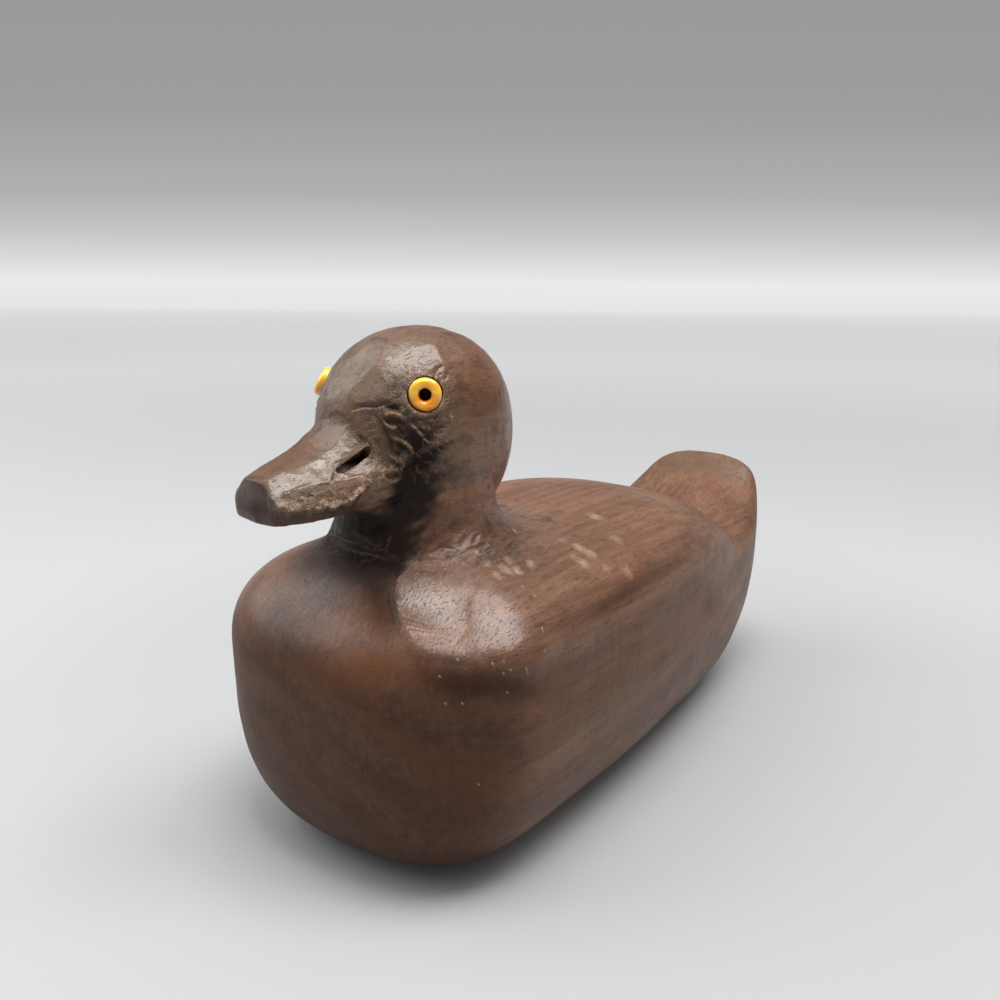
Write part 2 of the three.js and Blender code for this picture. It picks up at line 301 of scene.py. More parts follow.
def neighbour_mean(values, edges, count):
    """Mean of each vertex's neighbours, for one or more values at each vertex."""
    starts, ends = edges.T
    sums = np.stack([
        np.bincount(starts, column[ends], count) + np.bincount(ends, column[starts], count)
        for column in values.T
    ], axis=1)
    return sums / np.maximum(np.bincount(edges.ravel(), minlength=count), 1)[:, None]


def smoothstep(low, high, value):
    """0 below low, 1 above high and a soft rise between; high may be the lesser."""
    share = np.clip((value - low) / (high - low), 0, 1)
    return share * share * (3 - 2 * share)


def noise(points, size, seed):
    """Smooth noise from 0 to 1. size is one cell's size, one number or three."""
    side = 32
    lattice = np.random.default_rng(seed).random((side, side, side))
    place = points / np.asarray(size, float)
    cell = np.floor(place).astype(int)
    share = place - cell
    share = share * share * (3 - 2 * share)
    total = np.zeros(len(points))
    for corner in np.ndindex(2, 2, 2):
        weight = np.prod(np.where(corner, share, 1 - share), axis=1)
        i, j, k = ((cell + corner) % side).T
        total += weight * lattice[i, j, k]
    return total


def swing(points, size, seed, amount):
    """Smooth noise about 0, from minus to plus half of an amount."""
    return (noise(points, size, seed) - 0.5) * amount


def hump(*terms):
    """1 where each value is at its middle, falling off like a bell. A term is value, middle and width."""
    return np.exp(-sum(((value - middle) / width) ** 2 for value, middle, width in terms))


def head_share(points):
    """1 on the head, bill and neck, fading to 0 on the body."""
    x, y, z = points.T
    beside = np.hypot(x, (y - NECK_AXIS[1]) * 0.95) - BILL_REACH * (z > BILL_LEVEL)
    return smoothstep(*HEAD_FOOT, z) * (1 - smoothstep(*HEAD_EDGE, beside))


# Cuts

class Carving:
    """The carving's surface points, in millimetres, with the knife's cuts as methods.

    A cut or a raised lip is kept as a height along each point's own normal, and the deepest cut wins,
    so strokes may cross without folding the surface.
    """

    CELL = 3.0

    LEAST_SLOPE = 0.4
    WIDEST_FACET = 12
    LONGEST_JUMP = 4.0

    def __init__(self, obj, stage, seed):
        self.obj = obj
        self.stage = stage
        self.random = np.random.default_rng(seed)
        self.points = points_of(obj.data)
        self.normals = normals_of(obj.data)
        self.pixels = pixels_of(stage, self.points)
        self.to_camera = np.array(camera_axes(stage)[2])
        self.cut, self.lift, self.plane, self.on_facet, self.fresh = np.zeros((5, len(self.points)))
        self.stain, self.warm, self.shine, self.olive = np.zeros((4, len(self.points)))
        cells = np.floor(self.points / self.CELL).astype(int)
        order = np.lexsort(cells.T)
        starts = np.flatnonzero(np.r_[True, (np.diff(cells[order], axis=0) != 0).any(axis=1)])
        self.rows_of = {tuple(cells[rows[0]]): rows for rows in np.split(order, starts[1:])}

    def near(self, low, high):
        """Rows of the points in the box from low to high, a cell's width to spare."""
        first = np.floor(low / self.CELL).astype(int)
        last = np.floor(high / self.CELL).astype(int)
        cells = np.ndindex(*(last - first + 1))
        found = [self.rows_of[key] for key in (tuple(first + step) for step in cells) if key in self.rows_of]
        return np.concatenate(found) if found else np.empty(0, int)

    def seen(self, pixel):
        """Surface point that the camera sees at a pixel, or None past the outline."""
        origin, way = sight_line(self.stage, pixel)
        hit, place, _, _ = self.obj.ray_cast(origin, way)
        return np.array(place) / MM if hit else None

    def nearest(self, point):
        return np.array(self.obj.closest_point_on_mesh(Vector(point * MM))[1]) / MM

    def mirrored(self, point):
        """The point across the head's middle plane, brought back onto the surface."""
        side = np.array([math.cos(HEAD_TURN), math.sin(HEAD_TURN), 0])
        return self.nearest(point - 2 * side * np.dot(point - NECK_AXIS, side))

    def facing(self, point, reach=1.4):
        """Mean outward direction of the surface round a point."""
        rows = self.near(point - reach, point + reach)
        rows = rows[np.linalg.norm(self.points[rows] - point, axis=1) < reach]
        mean = self.normals[rows].sum(axis=0)
        return mean / np.linalg.norm(mean)

    def flat(self, point, depth, reach, way=None, tilt=(0, 0, 0)):
        """Knife flat: a plane a little under the point, running out towards its reach."""
        way = (self.facing(point) if way is None else way) + np.array(tilt)
        way /= np.linalg.norm(way)
        rows = self.near(point - reach, point + reach)
        off = self.points[rows] - point
        far = np.linalg.norm(off, axis=1) / reach
        rows, off, far = rows[far < 1], off[far < 1], far[far < 1]
        slope = np.clip(self.normals[rows] @ way, self.LEAST_SLOPE, 1)
        cut = np.minimum((off @ way + depth * (1 - far ** 4)) / slope, 1.3 * depth)
        self.cut[rows] = np.maximum(self.cut[rows], cut)

    def glint(self, point, lamp, lean):
        """Direction a flat faces when it is leant a share of the way to send a lamp's light to the camera."""
        to_camera = np.array(camera_axes(self.stage)[3]) / MM - point
        to_light = np.array(lamp) / MM - point
        way = to_camera / np.linalg.norm(to_camera) + to_light / np.linalg.norm(to_light)
        way = lean * way / np.linalg.norm(way) + (1 - lean) * self.facing(point)
        return way / np.linalg.norm(way)

    def facet(self, corners, depth, lamp, lean, soft):
        """Flat with an outline in pixels, turned to catch a lamp. It replaces what was cut there."""
        middle = self.seen(np.mean(corners, axis=0))
        way = self.glint(middle, lamp, lean)
        rows = self.near(middle - self.WIDEST_FACET, middle + self.WIDEST_FACET)
        rows = rows[self.normals[rows] @ way > 0.3]
        sides = np.array(corners)[:, 0]
        run_out = np.interp(self.pixels[rows, 0], [sides.min(), sides.max()], soft)
        share = np.clip(1 - past_outline(self.pixels[rows], corners) / run_out, 0, 1) ** 2
        rows, share = rows[share > 0], share[share > 0]
        slope = np.clip(self.normals[rows] @ way, 0.5, 1)
        height = -((self.points[rows] - middle) @ way + depth) / slope
        self.plane[rows] = self.plane[rows] * (1 - share) + height * share
        self.on_facet[rows] = np.maximum(self.on_facet[rows], share)
        self.cut[rows] *= 1 - share

    def along(self, line, width):
        """Rows near a line of points, how far each is to its side, in widths, and along it, from 0 to 1."""
        rows = self.near(line.min(axis=0) - width, line.max(axis=0) + width)
        best = np.full(len(rows), 9.0)
        side = np.zeros(len(rows))
        share = np.zeros(len(rows))
        for i, (a, b) in enumerate(zip(line, line[1:])):
            run = b - a
            part = np.clip((self.points[rows] - a) @ run / max(run @ run, 1e-9), 0, 1)
            off = self.points[rows] - (a + part[:, None] * run)
            far = np.linalg.norm(off, axis=1) / width
            closer = far < best
            across = np.cross(run, self.normals[rows[closer]])
            side[closer] = np.sign((off[closer] * across).sum(axis=1)) * far[closer]
            share[closer] = (i + part[closer]) / (len(line) - 1)
            best[closer] = far[closer]
        keep = best < 2.5
        return rows[keep], side[keep], share[keep]

    @staticmethod
    def tapered(share):
        """1 half way along a stroke, falling to 0 at both ends."""
        return np.sqrt(np.clip(np.sin(math.pi * share), 0, 1))

    def groove(self, line, width, depth, lean=0.5, chip=0.0, blunt=False):
        """Knife stroke along a line of surface points: a slope on one side and a steep wall on the other."""
        rows, side, share = self.along(line, width)
        slope = np.where(side < lean, (side + 1) / (lean + 1), (1 - side) / (1 - lean))
        ends = np.ones(len(rows)) if blunt else self.tapered(share)
        cut = depth * np.clip(slope, 0, 1) * ends
        self.cut[rows] = np.maximum(self.cut[rows], cut)
        burr = np.exp(-((side - 1.1) / 0.3) ** 2) * ends
        self.fresh[rows] = np.maximum(self.fresh[rows], burr * chip)
        self.lift[rows] = np.maximum(self.lift[rows], burr * chip * depth * 0.5)

    def lip(self, line, width, height, chip=0.0):
        """Thin raised curl of wood along a line of surface points."""
        rows, side, share = self.along(line, width)
        bump = np.exp(-side ** 2 * 1.6) * self.tapered(share)
        self.lift[rows] = np.maximum(self.lift[rows], bump * height)
        self.fresh[rows] = np.maximum(self.fresh[rows], bump * chip)

    def patch(self, values, middle, half_size, slope, strength):
        """Raises values in a soft patch that the camera sees, its middle and half size given in pixels."""
        turn = math.radians(slope)
        off = self.pixels - middle
        along = (off[:, 0] * math.cos(turn) + off[:, 1] * math.sin(turn)) / half_size[0]
        beside = (off[:, 1] * math.cos(turn) - off[:, 0] * math.sin(turn)) / half_size[1]
        share = strength * np.exp(-along ** 2 - beside ** 2) * (self.normals @ self.to_camera > 0)
        values[:] = np.maximum(values, share)

    def rub(self, line, width, share):
        """Wears the dark finish off along a line of surface points, in ragged patches."""
        rows, side, _ = self.along(line, width)
        ragged = smoothstep(0.35, 0.6, noise(self.points[rows], (0.9, 0.9, 0.9), 41))
        self.fresh[rows] = np.maximum(self.fresh[rows], share * np.exp(-side ** 2) * ragged)

    def stroke(self, pixels, steps=5):
        """Surface points along a line of pixels, leaving out those that miss the carving."""
        corners = np.array(pixels, float)
        places = np.linspace(0, len(corners) - 1, steps)
        xs = np.interp(places, range(len(corners)), corners[:, 0])
        ys = np.interp(places, range(len(corners)), corners[:, 1])
        points = [point for point in map(self.seen, zip(xs, ys)) if point is not None]
        jumps = [np.linalg.norm(b - a) for a, b in zip(points, points[1:])]
        return points if len(points) > 1 and max(jumps) < self.LONGEST_JUMP else []

    def both_sides(self, cut, pixels, *sizes, steps=5, **more):
        """Makes a cut along a line of pixels, and its like on the hidden side."""
        points = self.stroke(pixels, steps)
        if points:
            cut(np.array(points), *sizes, **more)
            cut(np.array([self.mirrored(point) for point in points]), *sizes, **more)

    def short_line(self, x, y, slope, length):
        """Two pixels, the second a random way and length from the first."""
        turn = math.radians(self.random.normal(*slope))
        reach = self.random.uniform(*length)
        return [(x, y), (x + reach * math.cos(turn), y + reach * math.sin(turn))]

    def scatter(self, box, slope, length, count):
        """Pixel pairs of short strokes scattered in an oval given by its middle and half size."""
        (x, y), (wide, high) = box
        for _ in range(count):
            angle = self.random.uniform(0, 2 * math.pi)
            far = math.sqrt(self.random.uniform(0, 1))
            off = wide * far * math.cos(angle), high * far * math.sin(angle)
            yield self.short_line(x + off[0], y + off[1], slope, length)

    def scatter_along(self, route, first, across, away, slope, length, count, above=False):
        """The same along a route of pixels, first being where on it they start."""
        xs, ys = np.array(route, float).T
        for _ in range(count):
            place = self.random.uniform(first, len(xs) - 1)
            x = np.interp(place, range(len(xs)), xs) + self.random.normal(0, across)
            off = self.random.normal(*away)
            y = np.interp(place, range(len(ys)), ys) + (-abs(off) if above else off)
            yield self.short_line(x, y, slope, length)

    def rough_strokes(self, lines, width, depth, steps, chip=None, rarity=1):
        """Grooves of uneven width, depth and lean along lines of pixels, on both sides of the head."""
        for line in lines:
            sizes = [self.random.uniform(*width), self.random.uniform(*depth)]
            lean = self.random.uniform(-0.6, 0.6)
            torn = self.random.uniform(*chip) ** rarity if chip else 0.0
            self.both_sides(self.groove, line, *sizes, steps=steps, lean=lean, chip=torn)


def speck(x, y, width=0.16, strength=0.65):
    """Pale dot: a very short scratch at a pixel, with its width in millimetres and its strength."""
    return ((x, y), (x + 1, y + 1)), width, strength


FLECKS = [  # start and end in pixels, width in mm and strength of the pale marks
    speck(439, 676), speck(457, 659), speck(492, 663), speck(503, 661), speck(510, 669), speck(503, 673),
    speck(507, 692), speck(445, 703), speck(462, 703), speck(478, 784), speck(522, 586), speck(534, 595),
    speck(515, 531, 0.5, 0.5), speck(530, 564, 0.8, 0.6), speck(595, 516, 1.3, 0.5),
    speck(589, 553, 1.2, 0.55), speck(615, 538, 1.3, 0.35), speck(627, 571, 1.2, 0.4),
    speck(606, 568, 1.0, 0.25), speck(562, 540, 0.9, 0.25), speck(578, 547, 1.1, 0.6),
    speck(582, 562, 1.1, 0.6), speck(573, 556, 0.7, 0.4), speck(505, 569, 1.3, 0.6),
    speck(516, 570, 1.0, 0.6), speck(497, 575, 0.9, 0.5), speck(487, 564, 0.7, 0.5),
    speck(476, 552, 0.6, 0.5), speck(455, 560, 0.6, 0.4), speck(508, 560, 0.8, 0.35),
    (((542, 627), (545, 652)), 0.13, 0.6),
    (((526, 668), (528, 674)), 0.15, 0.5),
]


# Marks of the knife, placed by pixels of the photograph's 1000 by 1000 frame

FLATS_SEEN = [  # pixel, depth in mm, reach in mm
    ((366, 385), 0.30, 9.0),
    ((352, 350), 0.22, 6.0),
    ((395, 333), 0.20, 5.0),
    ((452, 350), 0.22, 5.0),
    ((480, 395), 0.22, 6.0),
    ((486, 440), 0.20, 5.0),
]
# Outline, depth in mm, lamp, share of the lean to it, and pixels of run-out at the left and at the right
FACETS_SEEN = {
    "over the eye": (
        [(397, 357), (410, 348), (430, 344), (437, 349), (437, 359), (428, 363), (404, 365)],
        0.12, "right_lamp", 0.8, (6, 6)),
    "side of the bill": (
        [(268, 481), (284, 473), (302, 476), (300, 494), (289, 507), (273, 507)],
        0.05, "front_lamp", 0.8, (5, 5)),
    "top of the bill": (
        [(312, 467), (318, 460), (327, 460), (325, 467), (317, 471)],
        0.03, "front_lamp", 0.9, (4, 4)),
    "lower side of the bill": (
        [(284, 495), (300, 488), (325, 483), (345, 480), (362, 476), (370, 483), (352, 499), (334, 507),
         (310, 509), (288, 510)],
        0.65, "front_lamp", 0.1, (3, 3)),
    "shoulder": (
        [(468, 598), (486, 594), (504, 603), (518, 622), (521, 640), (508, 650), (488, 648), (472, 628)],
        0.18, "right_lamp", 0.42, (22, 48)),
    "breast": (
        [(413, 564), (405, 574), (399, 586), (397, 598), (398, 610), (402, 622), (409, 635), (420, 645),
         (438, 648), (456, 642), (466, 624), (466, 596), (456, 570), (436, 560)],
        0.0, "front_lamp", 0.75, (6, 64)),
}
# Middle, half length and half width in pixels, slope in degrees and strength of soft patches
# Greyer patches painted as sheen: the tail's grey-pink top and low on the flank
GREY_SHEENS_SEEN = [
    ((700, 466), (64, 17), 8, 0.9),
    ((640, 700), (70, 26), -38, 0.5),
]
SHINES_SEEN = [
    ((428, 606), (50, 36), 68, 1.0),
    ((498, 626), (34, 24), 55, 0.8),
    ((285, 491), (28, 18), 0, 0.9),
    ((320, 464), (14, 10), 0, 0.9),
    ((418, 356), (32, 16), 0, 0.75),
    ((476, 556), (42, 12), -22, 0.9),
]
# Dark patches, mostly painted shade: beside and below the breast's highlight where the head's shadow and reflection
# fall, under the neck's front foot, in the cheek's hollow and the eye's corner, under the bill's tip and along the
# flank's ridge; the faint ones are stains
SHADE_AND_STAINS_SEEN = [
    ((380, 603), (52, 17), 76, 1.0),
    ((368, 566), (48, 14), 6, 0.7),
    ((468, 684), (84, 26), 7, 1.0),
    ((448, 660), (44, 11), 9, 1.0),
    ((404, 428), (20, 34), -30, 0.8),
    ((393, 405), (12, 7), 0, 0.9),
    ((258, 509), (28, 15), 0, 0.9),
    ((300, 438), (40, 14), -35, 0.35),
    ((392, 716), (60, 30), 0, 0.35),
    ((617, 597), (52, 8), -33, 0.6),
    ((560, 668), (26, 14), -20, 0.35),
]
WARM_SEEN = [
    ((374, 662), (50, 25), -14, 0.85),
    ((284, 458), (46, 13), -34, 0.6),
    ((345, 492), (30, 9), -20, 0.5),
    ((486, 382), (22, 46), -10, 0.4),
    ((330, 668), (50, 16), -6, 0.35),
    ((610, 672), (70, 22), -36, 0.5),
    ((690, 610), (50, 18), -36, 0.4),
]
# The carving's method, pixels, width in mm and depth, height or share, steps, and what else it is told
CHEEK_CUTS = {
    "crease of the brow": (
        "groove", [(350, 409), (362, 405), (376, 405), (390, 400), (402, 392)], 0.5, 0.3, 9,
        {"lean": 0.6, "chip": 0.3}),
    "corner of the eye": ("groove", [(383, 404), (393, 405), (402, 408)], 0.9, 0.55, 6, {}),
    "front of the cheek": (
        "groove", [(372, 414), (384, 432), (392, 450), (398, 468)], 0.6, 0.3, 9, {"lean": -0.5}),
    "under the upper curl": ("groove", [(384, 420), (400, 423)], 0.55, 0.4, 4, {}),
    "upper curl": ("lip", [(384, 416), (391, 413), (400, 416), (405, 421)], 0.38, 0.5, 8, {"chip": 0.9}),
    "its lower rim": ("lip", [(384, 421), (388, 427), (393, 429), (398, 425)], 0.3, 0.32, 8, {"chip": 0.6}),
    "under the middle curl": ("groove", [(390, 444), (396, 452), (404, 454)], 0.6, 0.45, 5, {}),
    "middle curl": ("lip", [(393, 438), (402, 441), (410, 447), (413, 455)], 0.38, 0.5, 8, {"chip": 0.9}),
    "lower curl": ("lip", [(389, 456), (397, 459), (404, 463), (401, 470)], 0.4, 0.35, 8, {"chip": 1.0}),
    "behind the eye": ("lip", [(449, 415), (453, 418), (451, 422)], 0.25, 0.2, 5, {"chip": 0.8}),
    "foot of the cheek": ("groove", [(386, 472), (394, 477), (402, 470)], 0.9, 0.7, 6, {"chip": 0.3}),
    "first sliver": ("lip", [(411, 424), (418, 430)], 0.25, 0.22, 3, {"chip": 0.9}),
    "second sliver": ("lip", [(417, 431), (424, 437)], 0.25, 0.22, 3, {"chip": 0.9}),
    "third sliver": ("lip", [(423, 438), (430, 444)], 0.25, 0.22, 3, {"chip": 0.9}),
}
CREASE = {"lean": 0.3, "chip": 0.3}
FOOT_CUTS = {
    "left crease": ("groove", [(336, 541), (352, 547), (372, 551), (394, 557)], 0.55, 0.35, 7, CREASE),
    "middle crease": ("groove", [(400, 560), (422, 561), (446, 559), (466, 555)], 0.55, 0.35, 7, CREASE),
    "right crease": ("groove", [(462, 551), (476, 548), (488, 542)], 0.55, 0.35, 7, CREASE),
}
BILL_EDGE = [(284, 508), (310, 508), (334, 506), (352, 499), (368, 487), (384, 476), (396, 468)]
BILL_CUTS = {
    "worn edge": ("rub", BILL_EDGE, 1.3, 0.8, 20, {}),
    "corner of the bill": ("rub", [(366, 486), (378, 480), (390, 468), (397, 461)], 1.2, 1.0, 8, {}),
    "above the corner": ("rub", [(388, 470), (396, 463), (404, 458)], 0.9, 1.0, 5, {}),
    "tear before the nostril": ("groove", [(337, 470), (334, 476), (332, 482)], 0.35, 0.3, 4, {"chip": 0.3}),
    "nostril's upper rim": ("lip", [(373, 452), (357, 463), (340, 476)], 0.25, 0.14, 7, {"chip": 0.6}),
}
# Middle and half size in pixels, slope and its spread in degrees, least and greatest length, and count
CHEEK_STROKES = {
    "cheek": (((420, 442), (34, 38)), (42, 22), (4, 13), 90),
    "under the eye": (((428, 420), (22, 12)), (34, 26), (4, 9), 40),
    "over the eye": (((424, 374), (26, 9)), (20, 30), (3, 8), 46),
}
NECK_STREAKS = (((410, 508), (66, 34)), (-24, 7), (18, 52), 60)
NECK_FOOT = [(322, 541), (345, 547), (385, 555), (420, 560), (450, 557), (480, 549), (506, 544), (524, 556)]
FOOT_STROKES = 90
EDGE_STROKES = 44

# Flats all over the head, on a spiral round its middle
HEAD_FLATS = 84
FLAT_REACH = 3.4
GOLDEN_TURN = 2.39996
HIGHEST_FLAT = 0.98
LOWEST_FLAT = -0.52
CLEAR_OF_HEAD = 40

# Nicks round the sockets in mm, and the pale lip below each bead, its start, end and step in degrees
RIM_NICKS = 22
NICK_LENGTH = (0.5, 1.6)
LIP_ANGLES = (175, 366, 12)
LIP_OFF = 0.3
LIP_WIDTH = 0.5
LIP_HEIGHT = 0.34


def make_cuts(carving, cuts):
    """Makes a table's cuts on the side that the camera sees and on the hidden one."""
    for method, pixels, width, depth, steps, more in cuts.values():
        carving.both_sides(getattr(carving, method), pixels, width, depth, steps=steps, **more)


def cut_head_flats(carving, depth):
    """Flats all over the head from short knife strokes, and the larger ones that catch the light."""
    for i in range(HEAD_FLATS):
        lift = math.asin(HIGHEST_FLAT - (HIGHEST_FLAT - LOWEST_FLAT) * i / HEAD_FLATS)
        turn = i * GOLDEN_TURN + carving.random.normal(0, 0.15)
        way = np.array([math.cos(turn) * math.cos(lift), math.sin(turn) * math.cos(lift), math.sin(lift)])
        start = Vector((HEAD_MIDDLE + way * CLEAR_OF_HEAD) * MM)
        hit, place, _, _ = carving.obj.ray_cast(start, Vector(-way))
        if hit:
            tilt = carving.random.normal(0, 0.03, 3)
            deep = depth * carving.random.uniform(0.5, 1.4)
            carving.flat(np.array(place) / MM, deep, FLAT_REACH, tilt=tilt)
    for pixel, deep, reach in FLATS_SEEN:
        point = carving.seen(pixel)
        carving.flat(point, deep, reach)
        carving.flat(carving.mirrored(point), deep * 0.8, reach)
    for corners, deep, lamp, lean, soft in FACETS_SEEN.values():
        carving.facet(corners, deep, getattr(carving.stage, lamp), lean, soft)


def mark_patches(carving):
    """Patches that the camera sees: painted shade with some stains, orange-brown wood, rubbed wood, and greyer wood
    with painted sheen.
    """
    for values, patches in (
        (carving.stain, SHADE_AND_STAINS_SEEN),
        (carving.warm, WARM_SEEN),
        (carving.shine, SHINES_SEEN),
        (carving.olive, GREY_SHEENS_SEEN),
    ):
        for patch in patches:
            carving.patch(values, *patch)


def cut_cheeks(carving):
    """Rough hollow before and below each eye, cut with many short strokes, and its curls of wood."""
    for place in CHEEK_STROKES.values():
        carving.rough_strokes(
            carving.scatter(*place), width=(0.22, 0.5), depth=(0.06, 0.24), steps=4, chip=(0, 0.85), rarity=3)
    make_cuts(carving, CHEEK_CUTS)


def cut_neck(carving):
    """Streaks up the neck and the ragged ring of strokes at its foot."""
    carving.rough_strokes(carving.scatter(*NECK_STREAKS), width=(0.6, 2.0), depth=(0.08, 0.3), steps=6)
    ring = carving.scatter_along(NECK_FOOT, 0, 5, (0, 7), slope=(-22, 22), length=(6, 22), count=FOOT_STROKES)
    carving.rough_strokes(ring, width=(0.4, 1.0), depth=(0.06, 0.24), steps=4, chip=(0, 0.5), rarity=2)
    make_cuts(carving, FOOT_CUTS)


def cut_bill(carving):
    """Worn and splintered lower edge of the bill, and the nostril's torn front end."""
    splinters = carving.scatter_along(
        BILL_EDGE, 0.4, 2, (2, 4), slope=(-35, 30), length=(3, 9), count=EDGE_STROKES, above=True)
    carving.rough_strokes(splinters, width=(0.3, 0.8), depth=(0.06, 0.3), steps=3, chip=(0.1, 0.9))
    make_cuts(carving, BILL_CUTS)


def cut_socket_rims(carving, eye):
    """Nicks round an eye's socket and the chipped lip that holds the bead from below."""
    place, out = eye["middle"] / MM, eye["out"]
    rim = eye["radius"] / MM + SOCKET_CLEARANCE
    side = np.cross([0, 0, 1], out)
    side /= np.linalg.norm(side)
    up = np.cross(out, side)
    random = carving.random

    def on_wood(angle, beside):
        start = place + (side * math.cos(angle) + up * math.sin(angle)) * beside + out * CLEAR_OF_WOOD
        return np.array(carving.obj.ray_cast(Vector(start * MM), Vector(-out))[1]) / MM

    for i in range(RIM_NICKS):
        angle = 2 * math.pi * (i + random.uniform(-0.3, 0.3)) / RIM_NICKS
        start = on_wood(angle, rim - 0.1)
        end = on_wood(angle + random.normal(0, 0.15), rim + random.uniform(*NICK_LENGTH))
        width, depth, chip = random.uniform(0.2, 0.45), random.uniform(0.05, 0.22), random.uniform(0, 0.5)
        carving.groove(np.array([start, end]), width, depth, chip=chip, blunt=True)
    lip = np.array([on_wood(math.radians(angle), rim + LIP_OFF) for angle in range(*LIP_ANGLES)])
    carving.lip(lip, LIP_WIDTH, LIP_HEIGHT, chip=1.0)


def unevenness(points, seed, on_facet):
    """Heights left by hand: slow waves on the body but not on its facets, and grit where it was gouged."""
    head = head_share(points)
    wave = swing(points, 13, seed, 0.30) * (1 - head) + swing(points, 5, seed + 1, 0.06)
    grit = swing(points, (0.9, 1.5, 0.9), seed + 2, 0.20) + swing(points, 0.5, seed + 3, 0.14)
    sunk = 0.05
    return (wave - sunk) * (1 - on_facet) + grit * (roughness_of_place(points) + 0.18 * head)


# Regions of the surface in millimetres, in the head's own frame but for the breast and the chest. A fade is
# given by where it starts and ends, and a ring or hump by its middle and width. Ahead and down are distances
# towards the bill's tip and the table, with their starts and ends in that order

CHEEK_MIDDLE = np.array([9.5, -9.5, 69.5])
CHEEK_SQUEEZE = np.array([0.8, 1.0, 0.85])
CHEEK_FADE = (4.5, 8.5)
GOUGED_RING = (16.5, 3.2)
GOUGED_HEIGHT = (49.5, 2.6)
BILL_LOW_SIDE = (-21, 9)
BILL_LOW_HEIGHT = (61, 1.6)
BILL_HALF_WIDTH = 5

BREAST_HEIGHT = (33, 42)
BREAST_AHEAD = (26, 38)
GREY_AHEAD = (-6, 6)
GREY_HEIGHT = (58, 62)
CHEST_AHEAD = (44, 60)
CHEST_DOWN = (-45, -36)

# Where the painted shade under the head and bill lies: the neck's front, its foot, the bill's tip and its underside
# edge
NECK_HEIGHT = (46, 50)
NECK_SHADE_TOP = (68.5, 74)
NECK_FRONT = (0.25, 0.62)  # of the distance from the centre line, the share that lies ahead
NECK_SIDE = (18, 22)
CLEAN_BILL_AHEAD = (11.0, 13.5)
CLEAN_BILL_HEIGHT = (56.5, 58)
SKIRT_RING = (13, 6.5)
SKIRT_HEIGHT = (44, 47)
SKIRT_TOP = (50, 56)
LOW_NECK_HEIGHT = (48, 50)
LOW_NECK_TOP = (53, 60)
LOW_NECK_SIDE = (16, 20)
DARK_TIP_AHEAD = (29.0, 30.2)
UNDER_EDGE_DOWN = (-61.4, -60.4)
UNDER_EDGE_AHEAD = (17, 20)
UNDER_EDGE_SIDE = 19
RIGHTWARD = np.array([0.81, 0.585])  # the camera's right, on the level
RISING_STREAK = (8, 20, 1.1)
SMALL_STREAK = (0.9, 1.2, 0.9)

ROOT_WIDTH = 2.3
JOIN_RING = (19, 5.0)
JOIN_HEIGHT = (49, 4.0)
JOIN_BACK = 2.0
BLUNT_TIP_AHEAD = (27.0, 30.0)


def in_head(points):
    """Points in the head's own frame: across, behind the neck's centre line, and up."""
    turned = points - NECK_AXIS
    across = turned[:, 0] * math.cos(HEAD_TURN) + turned[:, 1] * math.sin(HEAD_TURN)
    behind = turned[:, 1] * math.cos(HEAD_TURN) - turned[:, 0] * math.sin(HEAD_TURN)
    return across, behind, points[:, 2]


def roughness_of_place(points):
    """1 in the gouged cheeks and round the neck's foot, falling to 0 on the smooth wood."""
    x, y, z = in_head(points)
    off = (np.stack([np.abs(x), y, z], axis=1) - CHEEK_MIDDLE) * CHEEK_SQUEEZE
    at_cheek = 1 - smoothstep(*CHEEK_FADE, np.linalg.norm(off, axis=1))
    at_foot = hump((np.hypot(x, y), *GOUGED_RING), (z, *GOUGED_HEIGHT))
    low_bill = hump((y, *BILL_LOW_SIDE), (z, *BILL_LOW_HEIGHT)) * (np.abs(x) > BILL_HALF_WIDTH)
    return np.clip(at_cheek + 0.8 * at_foot + 0.8 * low_bill, 0, 1)


def polish_of_place(points):
    """How much hands have rubbed the wood: most on the head and the breast, least on the flanks."""
    head = head_share(points)
    breast = smoothstep(*BREAST_HEIGHT, points[:, 2]) * smoothstep(*BREAST_AHEAD, -points[:, 1])
    return np.clip(np.maximum(0.55 * head, 0.38 * breast * (1 - head)) + 0.1, 0, 1)


def olive_and_sheen_of_place(points):
    """1 on the forehead, the front of the crown and the bill, painted greyer: partly greyer wood, partly painted
    sheen of the light from above.
    """
    x, y, z = in_head(points)
    return head_share(points) * smoothstep(*GREY_AHEAD, -y) * smoothstep(*GREY_HEIGHT, z)


def dark_chest_of_place(points):
    """1 on the front of the chest below its ridge, fading to 0 along the sides."""
    ragged = swing(points, (14, 14, 7), 33, 6)
    ahead = smoothstep(*CHEST_AHEAD, -(points[:, 1] + ragged))
    return ahead * smoothstep(*CHEST_DOWN, -(points[:, 2] + ragged))


